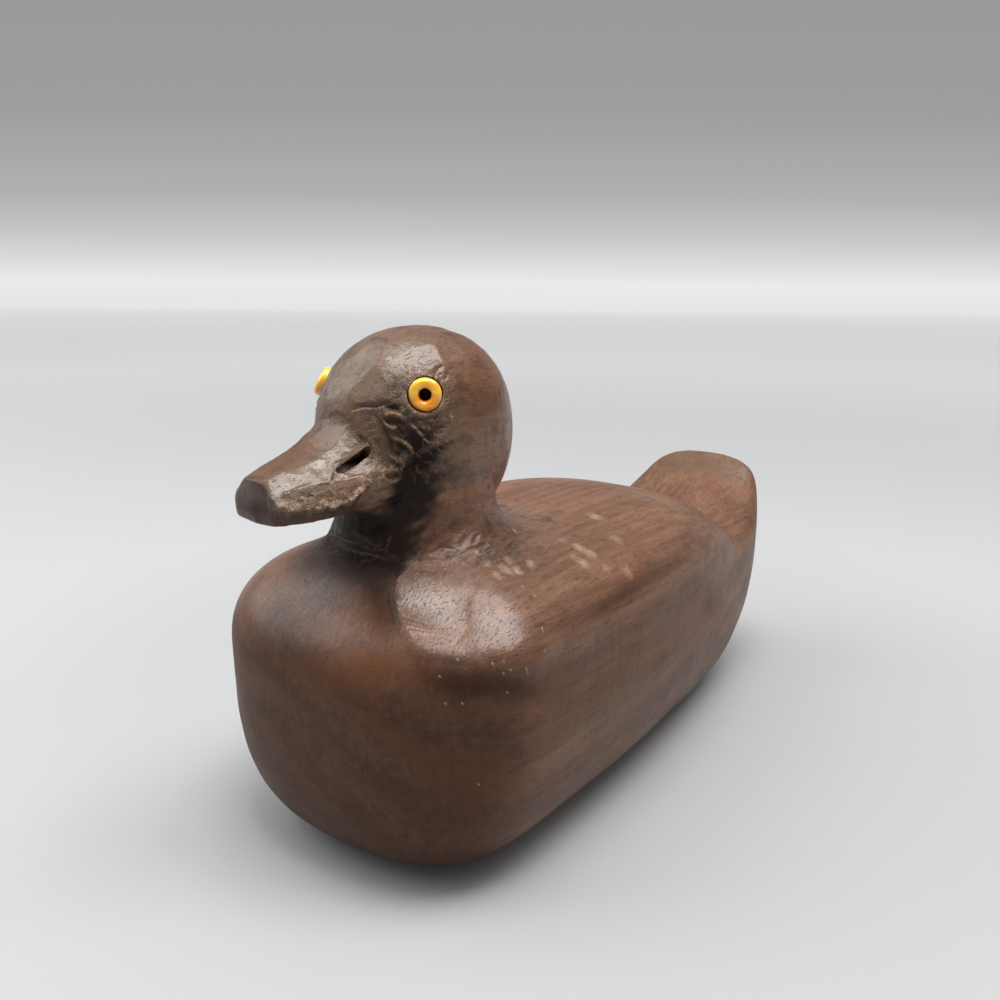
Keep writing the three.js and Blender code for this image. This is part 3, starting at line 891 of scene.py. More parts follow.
def grime_and_shade_of_place(points):
    """Painted shade with some grimy wood: near black on the front of the neck and the cheeks under the head, a faint
    skirt where the neck meets the chest, darker low on the neck, on the bill's down-turned tip and along its
    underside edge.
    """
    x, y, z = in_head(points)
    beside = np.hypot(x, y)
    rightward = points[:, :2] @ RIGHTWARD
    rising = np.stack([rightward, points[:, 1] - points[:, 0], z - 0.45 * rightward], axis=1)
    ragged = swing(rising, RISING_STREAK, 31, 0.5) + swing(points, SMALL_STREAK, 32, 0.16)
    front = smoothstep(*NECK_FRONT, -y / np.maximum(beside, 1) + ragged)
    height = smoothstep(*NECK_HEIGHT, z) * (1 - smoothstep(*NECK_SHADE_TOP, z + 4 * ragged))
    on_neck = front * height * (1 - smoothstep(*NECK_SIDE, beside))
    on_bill = smoothstep(*CLEAN_BILL_AHEAD, -y + 3 * ragged) * smoothstep(*CLEAN_BILL_HEIGHT, z)
    above_underside = smoothstep(*BILL_UNDERSIDE, z)
    skirt = hump((beside, *SKIRT_RING)) * (1 - smoothstep(*SKIRT_TOP, z)) * smoothstep(*SKIRT_HEIGHT, z)
    low_neck = smoothstep(*LOW_NECK_HEIGHT, z) * (1 - smoothstep(*LOW_NECK_TOP, z))
    low_neck *= 1 - smoothstep(*LOW_NECK_SIDE, beside)
    tip = smoothstep(*DARK_TIP_AHEAD, -y - 0.12 * np.abs(x)) * above_underside
    under_edge = smoothstep(*UNDER_EDGE_DOWN, -z) * above_underside * smoothstep(*UNDER_EDGE_AHEAD, -y)
    under_edge *= beside > UNDER_EDGE_SIDE
    return np.clip(np.maximum.reduce([
        on_neck * (1 - on_bill),
        skirt * (0.25 + 0.5 * front),
        0.35 * low_neck,
        0.5 * tip,
        0.55 * under_edge,
    ]), 0, 1)


def add_values(mesh, name, values):
    """Attribute with a value for each vertex, for the materials to read."""
    layer = mesh.attributes.new(name, "FLOAT", "POINT")
    layer.data.foreach_set("value", values.astype(np.float32))


def weight_group(obj, name, values):
    """Vertex group with the values rounded to tenths."""
    group = obj.vertex_groups.new(name=name)
    tenths = np.round(values * 10).astype(int)
    for level in range(1, 11):
        group.add(np.flatnonzero(tenths == level).tolist(), level / 10, "REPLACE")
    return group.name


def joins_share(points):
    """1 where the bill grows out of the brow and where the neck meets the back, half at the bill's tip."""
    x, y, z = in_head(points)
    beside = np.stack([np.abs(x), y, z], axis=1)
    root = np.full(len(points), 9.0)
    for start, end in zip(BILL_ROOT, BILL_ROOT[1:]):
        run = end - start
        share = np.clip((beside - start) @ run / (run @ run), 0, 1)
        root = np.minimum(root, np.linalg.norm(beside - start - share[:, None] * run, axis=1))
    root = hump((root, 0, ROOT_WIDTH))
    foot = hump((np.hypot(x, y - JOIN_BACK), *JOIN_RING), (z, *JOIN_HEIGHT))
    tip = 0.5 * smoothstep(*BLUNT_TIP_AHEAD, -y) * smoothstep(*BILL_UNDERSIDE, z)
    return np.clip(np.maximum.reduce([1.3 * root, foot, tip]), 0, 1)


# Holes: plugged in the blank, so that the surface is cut and sanded straight across, and bored last

def from_head(across, behind, up):
    """Direction or offset of the scene from the head's own frame."""
    return np.array([
        across * math.cos(HEAD_TURN) - behind * math.sin(HEAD_TURN),
        across * math.sin(HEAD_TURN) + behind * math.cos(HEAD_TURN),
        up,
    ])


def hole_at(middle, out, run, half_run, radius, bored, depth):
    """A round or slot-shaped hole in millimetres, its radius as in the CAD and as it is bored here."""
    out = out / np.linalg.norm(out)
    run = run - out * (run @ out)
    run = run / np.linalg.norm(run)
    return {"middle": middle, "out": out, "run": run, "side": np.cross(out, run), "half_run": half_run,
            "radius": radius, "bored": bored, "depth": depth}


def all_holes(eyes, sizes):
    """The two eye sockets and the two nostril slots."""
    holes = []
    seat = sizes.thickness / MM / 2 + SOCKET_GAP
    radius = sizes.radius / MM
    for eye in eyes.values():
        holes.append(hole_at(eye["middle"] / MM, eye["out"], np.array([0.0, 0, 1]), 0.0,
                             radius + SOCKET_GAP, radius + SOCKET_CLEARANCE, seat))
    for hand in (1, -1):
        back = NECK_AXIS + from_head(hand * NOSTRIL_X, NOSTRIL_BACK[0], NOSTRIL_BACK[1])
        front = NECK_AXIS + from_head(hand * NOSTRIL_X, NOSTRIL_FRONT[0], NOSTRIL_FRONT[1])
        out = from_head(hand * math.cos(NOSTRIL_LIFT), 0.0, math.sin(NOSTRIL_LIFT))
        half_run = np.linalg.norm(front - back) / 2 - NOSTRIL_WIDTH / 2
        holes.append(hole_at((back + front) / 2, out, back - front, half_run,
                             NOSTRIL_WIDTH / 2, NOSTRIL_WIDTH / 2, NOSTRIL_DEPTH))
    return holes


HOLE_CORNERS = 48
FIT_RINGS = (0.25, 0.6, 1.0)
CLEAR_OF_WOOD = 9.0
BORER_TOP = 6.0


def outline(hole, radius, count=HOLE_CORNERS):
    """Points round a hole at a radius, or at one for each point, as offsets along its run and to its side."""
    angles = (np.arange(count) + 0.5) * 2 * math.pi / count
    run = radius * np.cos(angles) + hole["half_run"] * np.sign(np.cos(angles))
    return np.stack([run, radius * np.sin(angles)], axis=1)


def height_terms(flat):
    """Terms of a surface that curves both ways."""
    u, v = flat.T
    return np.stack([np.ones_like(u), u, v, u * u, u * v, v * v], axis=1)


def placed(hole, flat, height):
    """Places at offsets along a hole's run and to its side, and at one height or one for each."""
    level = hole["middle"] + flat[:, :1] * hole["run"] + flat[:, 1:] * hole["side"]
    return level + np.reshape(height, (-1, 1)) * hole["out"]


def surface_fit(block, hole):
    """Six numbers of the curved surface that runs on over a hole, from the wood round it."""
    flat, height = [], []
    for grow in FIT_RINGS:
        for spot in outline(hole, hole["radius"] + grow):
            start = placed(hole, spot[None], CLEAR_OF_WOOD)[0]
            hit, place, _, _ = block.ray_cast(Vector(start * MM), Vector(-hole["out"]))
            if hit:
                flat.append(spot)
                height.append((np.array(place) / MM - hole["middle"]) @ hole["out"])
    return np.linalg.lstsq(height_terms(np.array(flat)), np.array(height), rcond=None)[0]


def prism(loops):
    """Closed mesh through loops of equal length, its ends closed by fans."""
    count = len(loops[0])
    points = [*np.concatenate(loops), loops[0].mean(axis=0), loops[-1].mean(axis=0)]
    faces = []
    for ring in range(len(loops) - 1):
        for i in range(count):
            a, b = ring * count + i, ring * count + (i + 1) % count
            faces.append((a, b, b + count, a + count))
    last = (len(loops) - 1) * count
    for i in range(count):
        faces.append((len(points) - 2, (i + 1) % count, i))
        faces.append((len(points) - 1, last + i, last + (i + 1) % count))
    return points, faces


def joined(name, prisms):
    """One object from several closed meshes in millimetres, faces turned outward."""
    shell = bmesh.new()
    for points, faces in prisms:
        verts = [shell.verts.new(Vector(point) * MM) for point in points]
        for face in faces:
            shell.faces.new([verts[i] for i in face])
    bmesh.ops.recalc_face_normals(shell, faces=shell.faces)
    mesh = bpy.data.meshes.new(name)
    shell.to_mesh(mesh)
    shell.free()
    obj = bpy.data.objects.new(name, mesh)
    bpy.context.scene.collection.objects.link(obj)
    return obj


def plugs(block, holes):
    """Closed plugs that fill the block's holes up to the surface round them."""
    made = []
    for hole in holes:
        fit = surface_fit(block, hole)
        rim = outline(hole, hole["radius"] + 0.1)
        loops = [placed(hole, rim, -hole["depth"] - 1.0)]
        for share in (1.0, 0.7, 0.35, 0.05):
            loops.append(placed(hole, rim * share, height_terms(rim * share) @ fit))
        made.append(prism(loops))
    return joined("plugs", made)


def borers(holes, random):
    """Rough-sided tools for the holes, the slots cut deeper towards the head."""
    made = []
    for hole in holes:
        is_slot = hole["half_run"] > 0
        rim = outline(hole, hole["bored"] + random.uniform(-0.05, 0.05, HOLE_CORNERS) * is_slot)
        slope = rim[:, 0] / max(hole["half_run"], 1.0) * is_slot
        floor = -hole["depth"] * (1 + 0.35 * np.clip(slope, -1, 1))
        top = placed(hole, rim, BORER_TOP)
        middle = placed(hole, rim, 0.5 * floor)
        end = placed(hole, rim * 0.85 if is_slot else rim, floor)
        made.append(prism([end, middle, top]))
    return joined("borers", made)


def discard(obj):
    """Deletes an object with its mesh."""
    mesh = obj.data
    bpy.data.objects.remove(obj)
    bpy.data.meshes.remove(mesh)


def split_head_faces(mesh):
    """Halves the grid's spacing on the head, bill and neck."""
    share = head_share(points_of(mesh))
    shell = bmesh.new()
    shell.from_mesh(mesh)
    edges = [edge for edge in shell.edges if all(share[vert.index] > 0.05 for vert in edge.verts)]
    bmesh.ops.subdivide_edges(shell, edges=edges, cuts=1, use_grid_fill=True)
    shell.to_mesh(mesh)
    shell.free()


def sanded_blank(sizes, holes):
    """The CAD block as an even grid of points, finer on the head, plugged and with its facets sanded away."""
    block = merged_copy("duck_carving")
    fill = plugs(block, holes)
    shell = bmesh.new()
    shell.from_mesh(block.data)
    shell.from_mesh(fill.data)
    shell.to_mesh(block.data)
    shell.free()
    discard(fill)
    blank = bpy.data.objects.new("blank", block.data.copy())
    bpy.context.scene.collection.objects.link(blank)
    grid = blank.modifiers.new("Even grid", "REMESH")
    grid.mode = "VOXEL"
    grid.voxel_size = sizes.grid * 1
    applied(blank)
    split_head_faces(blank.data)
    points = points_of(blank.data)
    head = head_share(points)
    fit = blank.modifiers.new("Fit", "SHRINKWRAP")
    fit.target = block
    fit.wrap_method = "NEAREST_SURFACEPOINT"
    for name, share, passes in (
        ("Body", 1 - head, sizes.body_passes),
        ("Joins", joins_share(points), sizes.join_passes),
        ("Head", head, sizes.head_passes),
    ):
        sand = blank.modifiers.new(name, "SMOOTH")
        sand.factor = 0.5
        sand.iterations = passes
        sand.vertex_group = weight_group(blank, name, share)
    applied(blank)
    blank.vertex_groups.clear()
    discard(block)
    return blank


FLAT_FOOT = 0.12
EDGE_CONTRAST = 16
SHARP_EDGE = math.radians(50)


def carved(blank, sizes, stage, eyes, holes):
    """Cuts the blank, keeps it inside the CAD box, thins it to the triangle budget and bores its holes."""
    carving = Carving(blank, stage, sizes.seed)
    cut_head_flats(carving, sizes.flat_depth / MM)
    mark_patches(carving)
    cut_cheeks(carving)
    cut_neck(carving)
    cut_bill(carving)
    for eye in eyes.values():
        cut_socket_rims(carving, eye)
    start = carving.points
    height = carving.lift - carving.cut + carving.plane + unevenness(start, sizes.seed + 10, carving.on_facet)
    points = start + height[:, None] * carving.normals
    points = np.clip(points, *(np.array(corner) / MM for corner in CAD_BOX))
    points[start[:, 2] < FLAT_FOOT, 2] = 0.0
    edges = np.empty(len(blank.data.edges) * 2, int)
    blank.data.edges.foreach_get("vertices", edges)
    edges = edges.reshape(-1, 2)
    put_points(blank.data, points)
    bend = ((points - neighbour_mean(points, edges, len(points))) * normals_of(blank.data)).sum(axis=1)
    for _ in range(2):
        bend = neighbour_mean(bend[:, None], edges, len(points))[:, 0]
    bend *= 1 - carving.on_facet
    blank.data.calc_loop_triangles()
    thin = blank.modifiers.new("Thin", "DECIMATE")
    thin.ratio = min(1.0, sizes.triangles / len(blank.data.loop_triangles))
    applied(blank)
    tools = borers(holes, carving.random)
    bore = blank.modifiers.new("Bore", "BOOLEAN")
    bore.operation = "DIFFERENCE"
    bore.solver = "EXACT"
    bore.object = tools
    applied(blank)
    discard(tools)
    rows = nearest_rows(points, points_of(blank.data))
    final = points_of(blank.data)
    # Painted shade under the head and bill and deep in the holes, with some grimy wood on the neck
    darkness = np.maximum(grime_and_shade_of_place(final), shade_in_holes(final, holes))
    for name, values in {
        "edge": np.clip(0.5 + bend * EDGE_CONTRAST, 0, 1)[rows],
        "fresh": np.clip(carving.fresh, 0, 1)[rows],
        "grime": (1 - 0.9 * carving.on_facet[rows]) * darkness,
        "rough_cut": roughness_of_place(final),
        "polish": np.maximum(polish_of_place(final), carving.shine[rows]),
        # Greyer wood, with painted sheen on the forehead, the tail's top and the flank
        "olive": np.maximum(olive_and_sheen_of_place(final), carving.olive[rows]),
        # Painted shade from the dark patches, over darker wood on the front of the chest
        "stain": np.maximum(0.66 * dark_chest_of_place(final), carving.stain[rows]),
        "warm": carving.warm[rows],
        "head": head_share(final),
    }.items():
        add_values(blank.data, name, values)
    blank.data.set_sharp_from_angle(angle=SHARP_EDGE)
    return blank


def nearest_rows(points, places):
    """For each place the row of the nearest of the points."""
    tree = KDTree(len(points))
    for row, point in enumerate(points):
        tree.insert(point, row)
    tree.balance()
    return np.array([tree.find(place)[1] for place in places])


HOLE_SHADE_FADE = (0.4, -0.5)
DEEPEST_HOLE_SHADE = -4


def shade_in_holes(points, holes):
    """Painted shade deep in the holes, darker the deeper."""
    darkness = np.zeros(len(points))
    for hole in holes:
        off = points - hole["middle"]
        along = np.clip(np.abs(off @ hole["run"]) - hole["half_run"], 0, None)
        beside = np.hypot(along, off @ hole["side"])
        deep = off @ hole["out"]
        inside = (beside < hole["bored"] + 0.03) & (deep > DEEPEST_HOLE_SHADE)
        darkness = np.maximum(darkness, inside * smoothstep(*HOLE_SHADE_FADE, deep))
    return darkness


# Nodes

def node(tree, kind, **settings):
    """A new node with its sockets and settings set by name."""
    made = tree.nodes.new(kind)
    for name, value in settings.items():
        if name in made.inputs.keys():
            made.inputs[name].default_value = value
        else:
            setattr(made, name, value)
    return made


def feed(tree, source, target):
    """Links a socket, or sets a plain number or colour."""
    if isinstance(source, bpy.types.NodeSocket):
        tree.links.new(source, target)
    else:
        target.default_value = source


def maths(tree, operation, *values, clamp=False):
    made = node(tree, "ShaderNodeMath", operation=operation, use_clamp=clamp)
    for value, socket in zip(values, made.inputs):
        feed(tree, value, socket)
    return made.outputs[0]


def times(tree, first, second):
    return maths(tree, "MULTIPLY", first, second)


def times_plus(tree, first, second, rest):
    return maths(tree, "MULTIPLY_ADD", first, second, rest)


def ramp(tree, value, low, high, to_low=0.0, to_high=1.0):
    """Soft rise or fall between two values."""
    made = node(tree, "ShaderNodeMapRange", interpolation_type="SMOOTHSTEP")
    for source, name in ((value, "Value"), (low, "From Min"), (high, "From Max"),
                         (to_low, "To Min"), (to_high, "To Max")):
        feed(tree, source, made.inputs[name])
    return made.outputs["Result"]


def mixed(tree, share, first, second):
    """The first colour with a share of the second over it."""
    made = node(tree, "ShaderNodeMix", data_type="RGBA")
    for source, socket in ((share, 0), (first, 6), (second, 7)):
        feed(tree, source, made.inputs[socket])
    return made.outputs[2]


def stretched_noise(tree, place, size, detail=3.0, rough=0.5):
    """Noise whose cells measure size millimetres along X, Y and Z."""
    scaled = node(tree, "ShaderNodeVectorMath", operation="MULTIPLY")
    feed(tree, place, scaled.inputs[0])
    scaled.inputs[1].default_value = [1 / (edge * MM) for edge in size]
    made = node(tree, "ShaderNodeTexNoise", Scale=1.0, Detail=detail, Roughness=rough)
    tree.links.new(scaled.outputs[0], made.inputs["Vector"])
    return made.outputs["Fac"]


def value_named(tree, name):
    return node(tree, "ShaderNodeAttribute", attribute_name=name).outputs["Fac"]


def new_group(name, inputs, outputs):
    """Shader group that puts out numbers. An input is a vector where its default is None."""
    group = bpy.data.node_groups.new(name, "ShaderNodeTree")
    for label, default in inputs.items():
        kind = "NodeSocketVector" if default is None else "NodeSocketFloat"
        socket = group.interface.new_socket(label, in_out="INPUT", socket_type=kind)
        if default is not None:
            socket.default_value = default
    for label in outputs:
        group.interface.new_socket(label, in_out="OUTPUT", socket_type="NodeSocketFloat")
    return group, group.nodes.new("NodeGroupInput"), group.nodes.new("NodeGroupOutput")


def wood_figure():
    """Growth bands, streaks, pores and rays of wood whose grain runs along Y."""
    group, given, made = new_group(
        "Wood figure", {"Place": None, "Ring Spacing": 5.5 * MM}, ("Bands", "Streaks", "Pores", "Rays"))
    place = given.outputs["Place"]
    split = node(group, "ShaderNodeSeparateXYZ")
    feed(group, place, split.inputs[0])
    drift = stretched_noise(group, place, (22, 90, 22), detail=2.0)
    slant = times_plus(group, split.outputs["X"], 0.45, split.outputs["Z"])
    bowed = times_plus(group, drift, 26 * MM, slant)
    turns = maths(group, "DIVIDE", bowed, given.outputs["Ring Spacing"])
    wave = maths(group, "SINE", times(group, turns, 2 * math.pi))
    feed(group, times_plus(group, wave, 0.5, 0.5), made.inputs["Bands"])
    feed(group, stretched_noise(group, place, (1.1, 26, 1.1), detail=4.0, rough=0.6), made.inputs["Streaks"])
    pores = stretched_noise(group, place, (0.30, 2.4, 0.30), detail=1.0)
    feed(group, ramp(group, pores, 0.60, 0.72), made.inputs["Pores"])
    rays = stretched_noise(group, place, (0.45, 1.2, 9.0), detail=2.0)
    feed(group, ramp(group, rays, 0.50, 0.75), made.inputs["Rays"])
    return group


POLISH_NOISES = {  # cell size in mm, detail and roughness
    "Ripple": ((0.34, 1.0, 0.34), 3.0, 0.6),
    "Grit": ((0.16, 0.2, 0.16), 2.0, 0.5),
    "Smears": ((7, 12, 7), 3.0, 0.5),
    "Leather": ((0.7, 0.9, 0.55), 3.0, 0.62),
    "Lines": ((0.36, 5.0, 0.36), 2.0, 0.5),
}
KNIFE_SLOPE = math.radians(42)


def hand_polish():
    """Fine unevenness of a rubbed and waxed surface, and the chatter of a knife drawn across the grain."""
    group, given, made = new_group("Hand polish", {"Place": None}, (*POLISH_NOISES, "Chatter"))
    place = given.outputs["Place"]
    for name, sizes in POLISH_NOISES.items():
        feed(group, stretched_noise(group, place, *sizes), made.inputs[name])
    turned = node(group, "ShaderNodeVectorRotate", rotation_type="X_AXIS", Angle=KNIFE_SLOPE)
    feed(group, place, turned.inputs["Vector"])
    strokes = stretched_noise(group, turned.outputs[0], (0.34, 1.6, 0.34), detail=2.0, rough=0.6)
    ridges = maths(group, "ABSOLUTE", maths(group, "SUBTRACT", strokes, 0.5))
    feed(group, ramp(group, ridges, 0.0, 0.16), made.inputs["Chatter"])
    return group


def vectors(tree, operation, *values):
    made = node(tree, "ShaderNodeVectorMath", operation=operation)
    for value, socket in zip(values, made.inputs):
        feed(tree, value, socket)
    return made.outputs


def fleck_shape():
    """1 within a width of the line between two places, softly falling to 0."""
    group, given, made = new_group(
        "Fleck", {"Place": None, "Start": None, "End": None, "Width": 0.2 * MM}, ["Mask"])
    start = given.outputs["Start"]
    run = vectors(group, "SUBTRACT", given.outputs["End"], start)["Vector"]
    off = vectors(group, "SUBTRACT", given.outputs["Place"], start)["Vector"]
    length = vectors(group, "DOT_PRODUCT", run, run)["Value"]
    share = maths(group, "DIVIDE", vectors(group, "DOT_PRODUCT", off, run)["Value"], length, clamp=True)
    along = node(group, "ShaderNodeVectorMath", operation="SCALE")
    feed(group, run, along.inputs[0])
    feed(group, share, along.inputs["Scale"])
    beside = vectors(group, "DISTANCE", off, along.outputs[0])["Value"]
    width = given.outputs["Width"]
    feed(group, ramp(group, beside, times(group, width, 1.5), 0.0), made.inputs["Mask"])
    return group


BLOTCH = 0.25
WARP_CELL = 0.8 * MM
WARP_REACH = 2.2 * MM


def all_flecks(tree, place, duck, stage):
    """Highest of the masks of every pale fleck and scratch, with the outlines of the wider ones warped."""
    shape = fleck_shape()
    warp = node(tree, "ShaderNodeTexNoise", Scale=1 / WARP_CELL, Detail=3.0)
    feed(tree, place, warp.inputs["Vector"])
    moved = node(tree, "ShaderNodeVectorMath", operation="MULTIPLY_ADD")
    feed(tree, vectors(tree, "SUBTRACT", warp.outputs["Color"], (0.5, 0.5, 0.5))["Vector"], moved.inputs[0])
    moved.inputs[1].default_value = (WARP_REACH,) * 3
    feed(tree, place, moved.inputs[2])
    total = 0.0
    for (start, end), width, strength in FLECKS:
        ends = [surface_at(duck, stage, pixel) for pixel in (start, end)]
        if None in ends:
            continue
        near = moved.outputs[0] if width > BLOTCH else place
        mask = grouped(tree, shape, near, Start=ends[0], End=ends[1], Width=width * MM)["Mask"]
        total = maths(tree, "MAXIMUM", total, times(tree, mask, strength))
    return total


def surface_at(obj, stage, pixel):
    """Place on the object that the camera sees at a pixel, in metres, or None past its outline."""
    hit, place, _, _ = obj.ray_cast(*sight_line(stage, pixel))
    return place if hit else None


def place_in_object(tree):
    return node(tree, "ShaderNodeTexCoord").outputs["Object"]


def grouped(tree, group, place, **inputs):
    made = node(tree, "ShaderNodeGroup", node_tree=group)
    feed(tree, place, made.inputs["Place"])
    for name, value in inputs.items():
        feed(tree, value, made.inputs[name.replace("_", " ")])
    return made.outputs


def new_material(name):
    material = bpy.data.materials.new(name)
    material.use_nodes = True
    tree = material.node_tree
    return material, tree, tree.nodes["Principled BSDF"]


CARVED_VALUES = ("edge", "fresh", "grime", "rough_cut", "polish", "olive", "stain", "warm", "head")


def wood_colour(tree, place, finish, figure, grit, seen, grime, flecks):
    """Colour of the wood: figured and reddish, then stained, painted greyer for sheen, painted darker for shade,
    dirtied, worn, chipped and flecked.
    """
    tone = times_plus(tree, figure["Streaks"], 0.8, times(tree, figure["Bands"], 0.16))
    red = stretched_noise(tree, place, (14, 34, 11), detail=3.0)
    mottle = stretched_noise(tree, place, (3.2, 4.6, 3.2), detail=4.0, rough=0.68)
    uneven = times_plus(tree, seen["head"], 0.35, 0.25)
    bare = times(tree, seen["fresh"], ramp(tree, grit, 0.35, 0.6))
    colour = mixed(tree, ramp(tree, tone, 0.25, 0.75), (*finish.dark, 1), (*finish.light, 1))
    for share, layer in (
        (ramp(tree, red, 0.50, 0.72, 0.0, 0.7), finish.red),
        # Greyer wood, partly painted sheen
        (times(tree, seen["olive"], 0.65), finish.olive),
        (times(tree, ramp(tree, mottle, 0.50, 0.34), uneven), finish.stain),
        (times(tree, ramp(tree, mottle, 0.54, 0.70), uneven), finish.warm),
        # Painted shade of the dark patches, over darker wood on the front of the chest
        (times(tree, seen["stain"], 0.9), finish.stain),
        (seen["warm"], finish.warm),
        (times(tree, figure["Pores"], 0.45), finish.stain),
        (times(tree, figure["Rays"], 0.22), finish.stain),
        # Painted shade under the head and bill and in concave places, with some grimy wood
        (times(tree, grime, 0.95), finish.grime),
        (ramp(tree, seen["edge"], 0.58, 0.85, 0.0, 0.55), finish.light),
        (times(tree, bare, 0.9), finish.chip),
        (times(tree, flecks, ramp(tree, grit, 0.28, 0.66)), finish.fleck),
    ):
        colour = mixed(tree, share, colour, (*layer, 1))
    return colour


def wax_film(tree, shader, finish, smears, seen, grime):
    """Roughness and shine: glossier where hands rub, duller over the painted shade, stains and grimy wood."""
    low, high = finish.roughness - 0.04, finish.roughness + 0.08
    rough = times_plus(tree, seen["polish"], -0.12, ramp(tree, smears, 0.3, 0.7, low, high))
    rough = times_plus(tree, seen["rough_cut"], 0.10, rough)
    dull = maths(tree, "MAXIMUM", times(tree, seen["stain"], 0.75), times(tree, seen["warm"], 0.6))
    dull = maths(tree, "MAXIMUM", times(tree, grime, 0.8), dull)
    clean = maths(tree, "SUBTRACT", 1.0, dull)
    film = times(tree, seen["polish"], ramp(tree, smears, 0.25, 0.65, 0.65, 1.0))
    feed(tree, rough, shader.inputs["Roughness"])
    feed(tree, times(tree, clean, 0.22), shader.inputs["Specular IOR Level"])
    feed(tree, times(tree, film, times(tree, clean, finish.polish)), shader.inputs["Coat Weight"])
    shader.inputs["Coat Roughness"].default_value = 0.20


def wood_relief(tree, shader, figure, polish, seen):
    """Fine relief of the wood, and the same one softer in the wax."""
    height = times_plus(tree, polish["Grit"], 0.35, times(tree, polish["Ripple"], 0.8))
    on_body = maths(tree, "SUBTRACT", seen["polish"], seen["head"], clamp=True)
    for part, amount in (
        (times(tree, polish["Lines"], on_body), 1.8),
        (times(tree, polish["Chatter"], seen["rough_cut"]), 2.2),
        (times(tree, polish["Leather"], seen["head"]), 1.1),
        (figure["Pores"], -0.7),
        (figure["Rays"], -0.25),
    ):
        height = times_plus(tree, part, amount, height)
    for strength, socket in ((0.85, "Normal"), (0.5, "Coat Normal")):
        bump = node(tree, "ShaderNodeBump", Strength=strength, Distance=0.07 * MM)
        feed(tree, height, bump.inputs["Height"])
        feed(tree, bump.outputs[0], shader.inputs[socket])


def wood_material(finish, duck, stage):
    material, tree, shader = new_material("Waxed wood")
    place = place_in_object(tree)
    figure = grouped(tree, wood_figure(), place, Ring_Spacing=finish.ring_spacing)
    polish = grouped(tree, hand_polish(), place)
    seen = {name: value_named(tree, name) for name in CARVED_VALUES}
    # Painted shade: darker in concave places, from the bend of the surface
    hollow_shade = ramp(tree, seen["edge"], 0.47, 0.25)
    grime = maths(tree, "MAXIMUM", seen["grime"], times(tree, hollow_shade, 0.5))
    flecks = all_flecks(tree, place, duck, stage)
    colour = wood_colour(tree, place, finish, figure, polish["Grit"], seen, grime, flecks)
    feed(tree, colour, shader.inputs["Base Color"])
    wax_film(tree, shader, finish, polish["Smears"], seen, grime)
    wood_relief(tree, shader, figure, polish, seen)
    return material


LIT_TOP_HEIGHT = (72.6 * MM, 76.6 * MM)
GLASS_SOCKETS = {
    "Subsurface Weight": 0.35,
    "Subsurface Radius": (1.0, 0.45, 0.1),
    "Subsurface Scale": 0.8 * MM,
    "Coat Weight": 0.4,
    "Coat Roughness": 0.08,
}


def glass_material(sizes):
    """Amber glass, cloudy, and paler towards the top of the eyes as painted light from above."""
    material, tree, shader = new_material("Amber glass")
    place = place_in_object(tree)
    split = node(tree, "ShaderNodeSeparateXYZ")
    feed(tree, place, split.inputs[0])
    # Painted light: paler towards the top of each bead
    high = ramp(tree, split.outputs["Z"], *LIT_TOP_HEIGHT)
    cloud = stretched_noise(tree, place, (1.6, 1.6, 1.0), detail=3.0)
    lit_top_and_swirl = maths(tree, "MULTIPLY_ADD", high, 0.7, ramp(tree, cloud, 0.35, 0.7, -0.15, 0.45), clamp=True)
    feed(tree, mixed(tree, lit_top_and_swirl, (*sizes.amber, 1), (*sizes.honey, 1)), shader.inputs["Base Color"])
    smear = stretched_noise(tree, place, (0.7, 0.7, 0.7), detail=2.0)
    feed(tree, ramp(tree, smear, 0.3, 0.7, 0.12, 0.24), shader.inputs["Roughness"])
    for name, value in GLASS_SOCKETS.items():
        shader.inputs[name].default_value = value
    bump = node(tree, "ShaderNodeBump", Strength=0.25, Distance=0.04 * MM)
    feed(tree, smear, bump.inputs["Height"])
    feed(tree, bump.outputs[0], shader.inputs["Normal"])
    return material


# Eyes

def eye_place(node_name, sizes):
    """Middle and outward direction of a bead, from the CAD node's own points."""
    points = points_of(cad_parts[node_name].data)
    middle = (points.max(axis=0) + points.min(axis=0)) / 2
    spread = np.linalg.svd(points - points.mean(axis=0), full_matrices=False)[2]
    out = spread[2] * np.sign(spread[2] @ (middle - HEAD_MIDDLE))
    return {"middle": middle * MM, "out": out, "radius": sizes.radius}


RING_POINTS = 96
CORNER_POINTS = 9
CORNER_SHARE = 0.44
WOBBLE_SCALE = 420.0
WOBBLE = 0.16 * MM


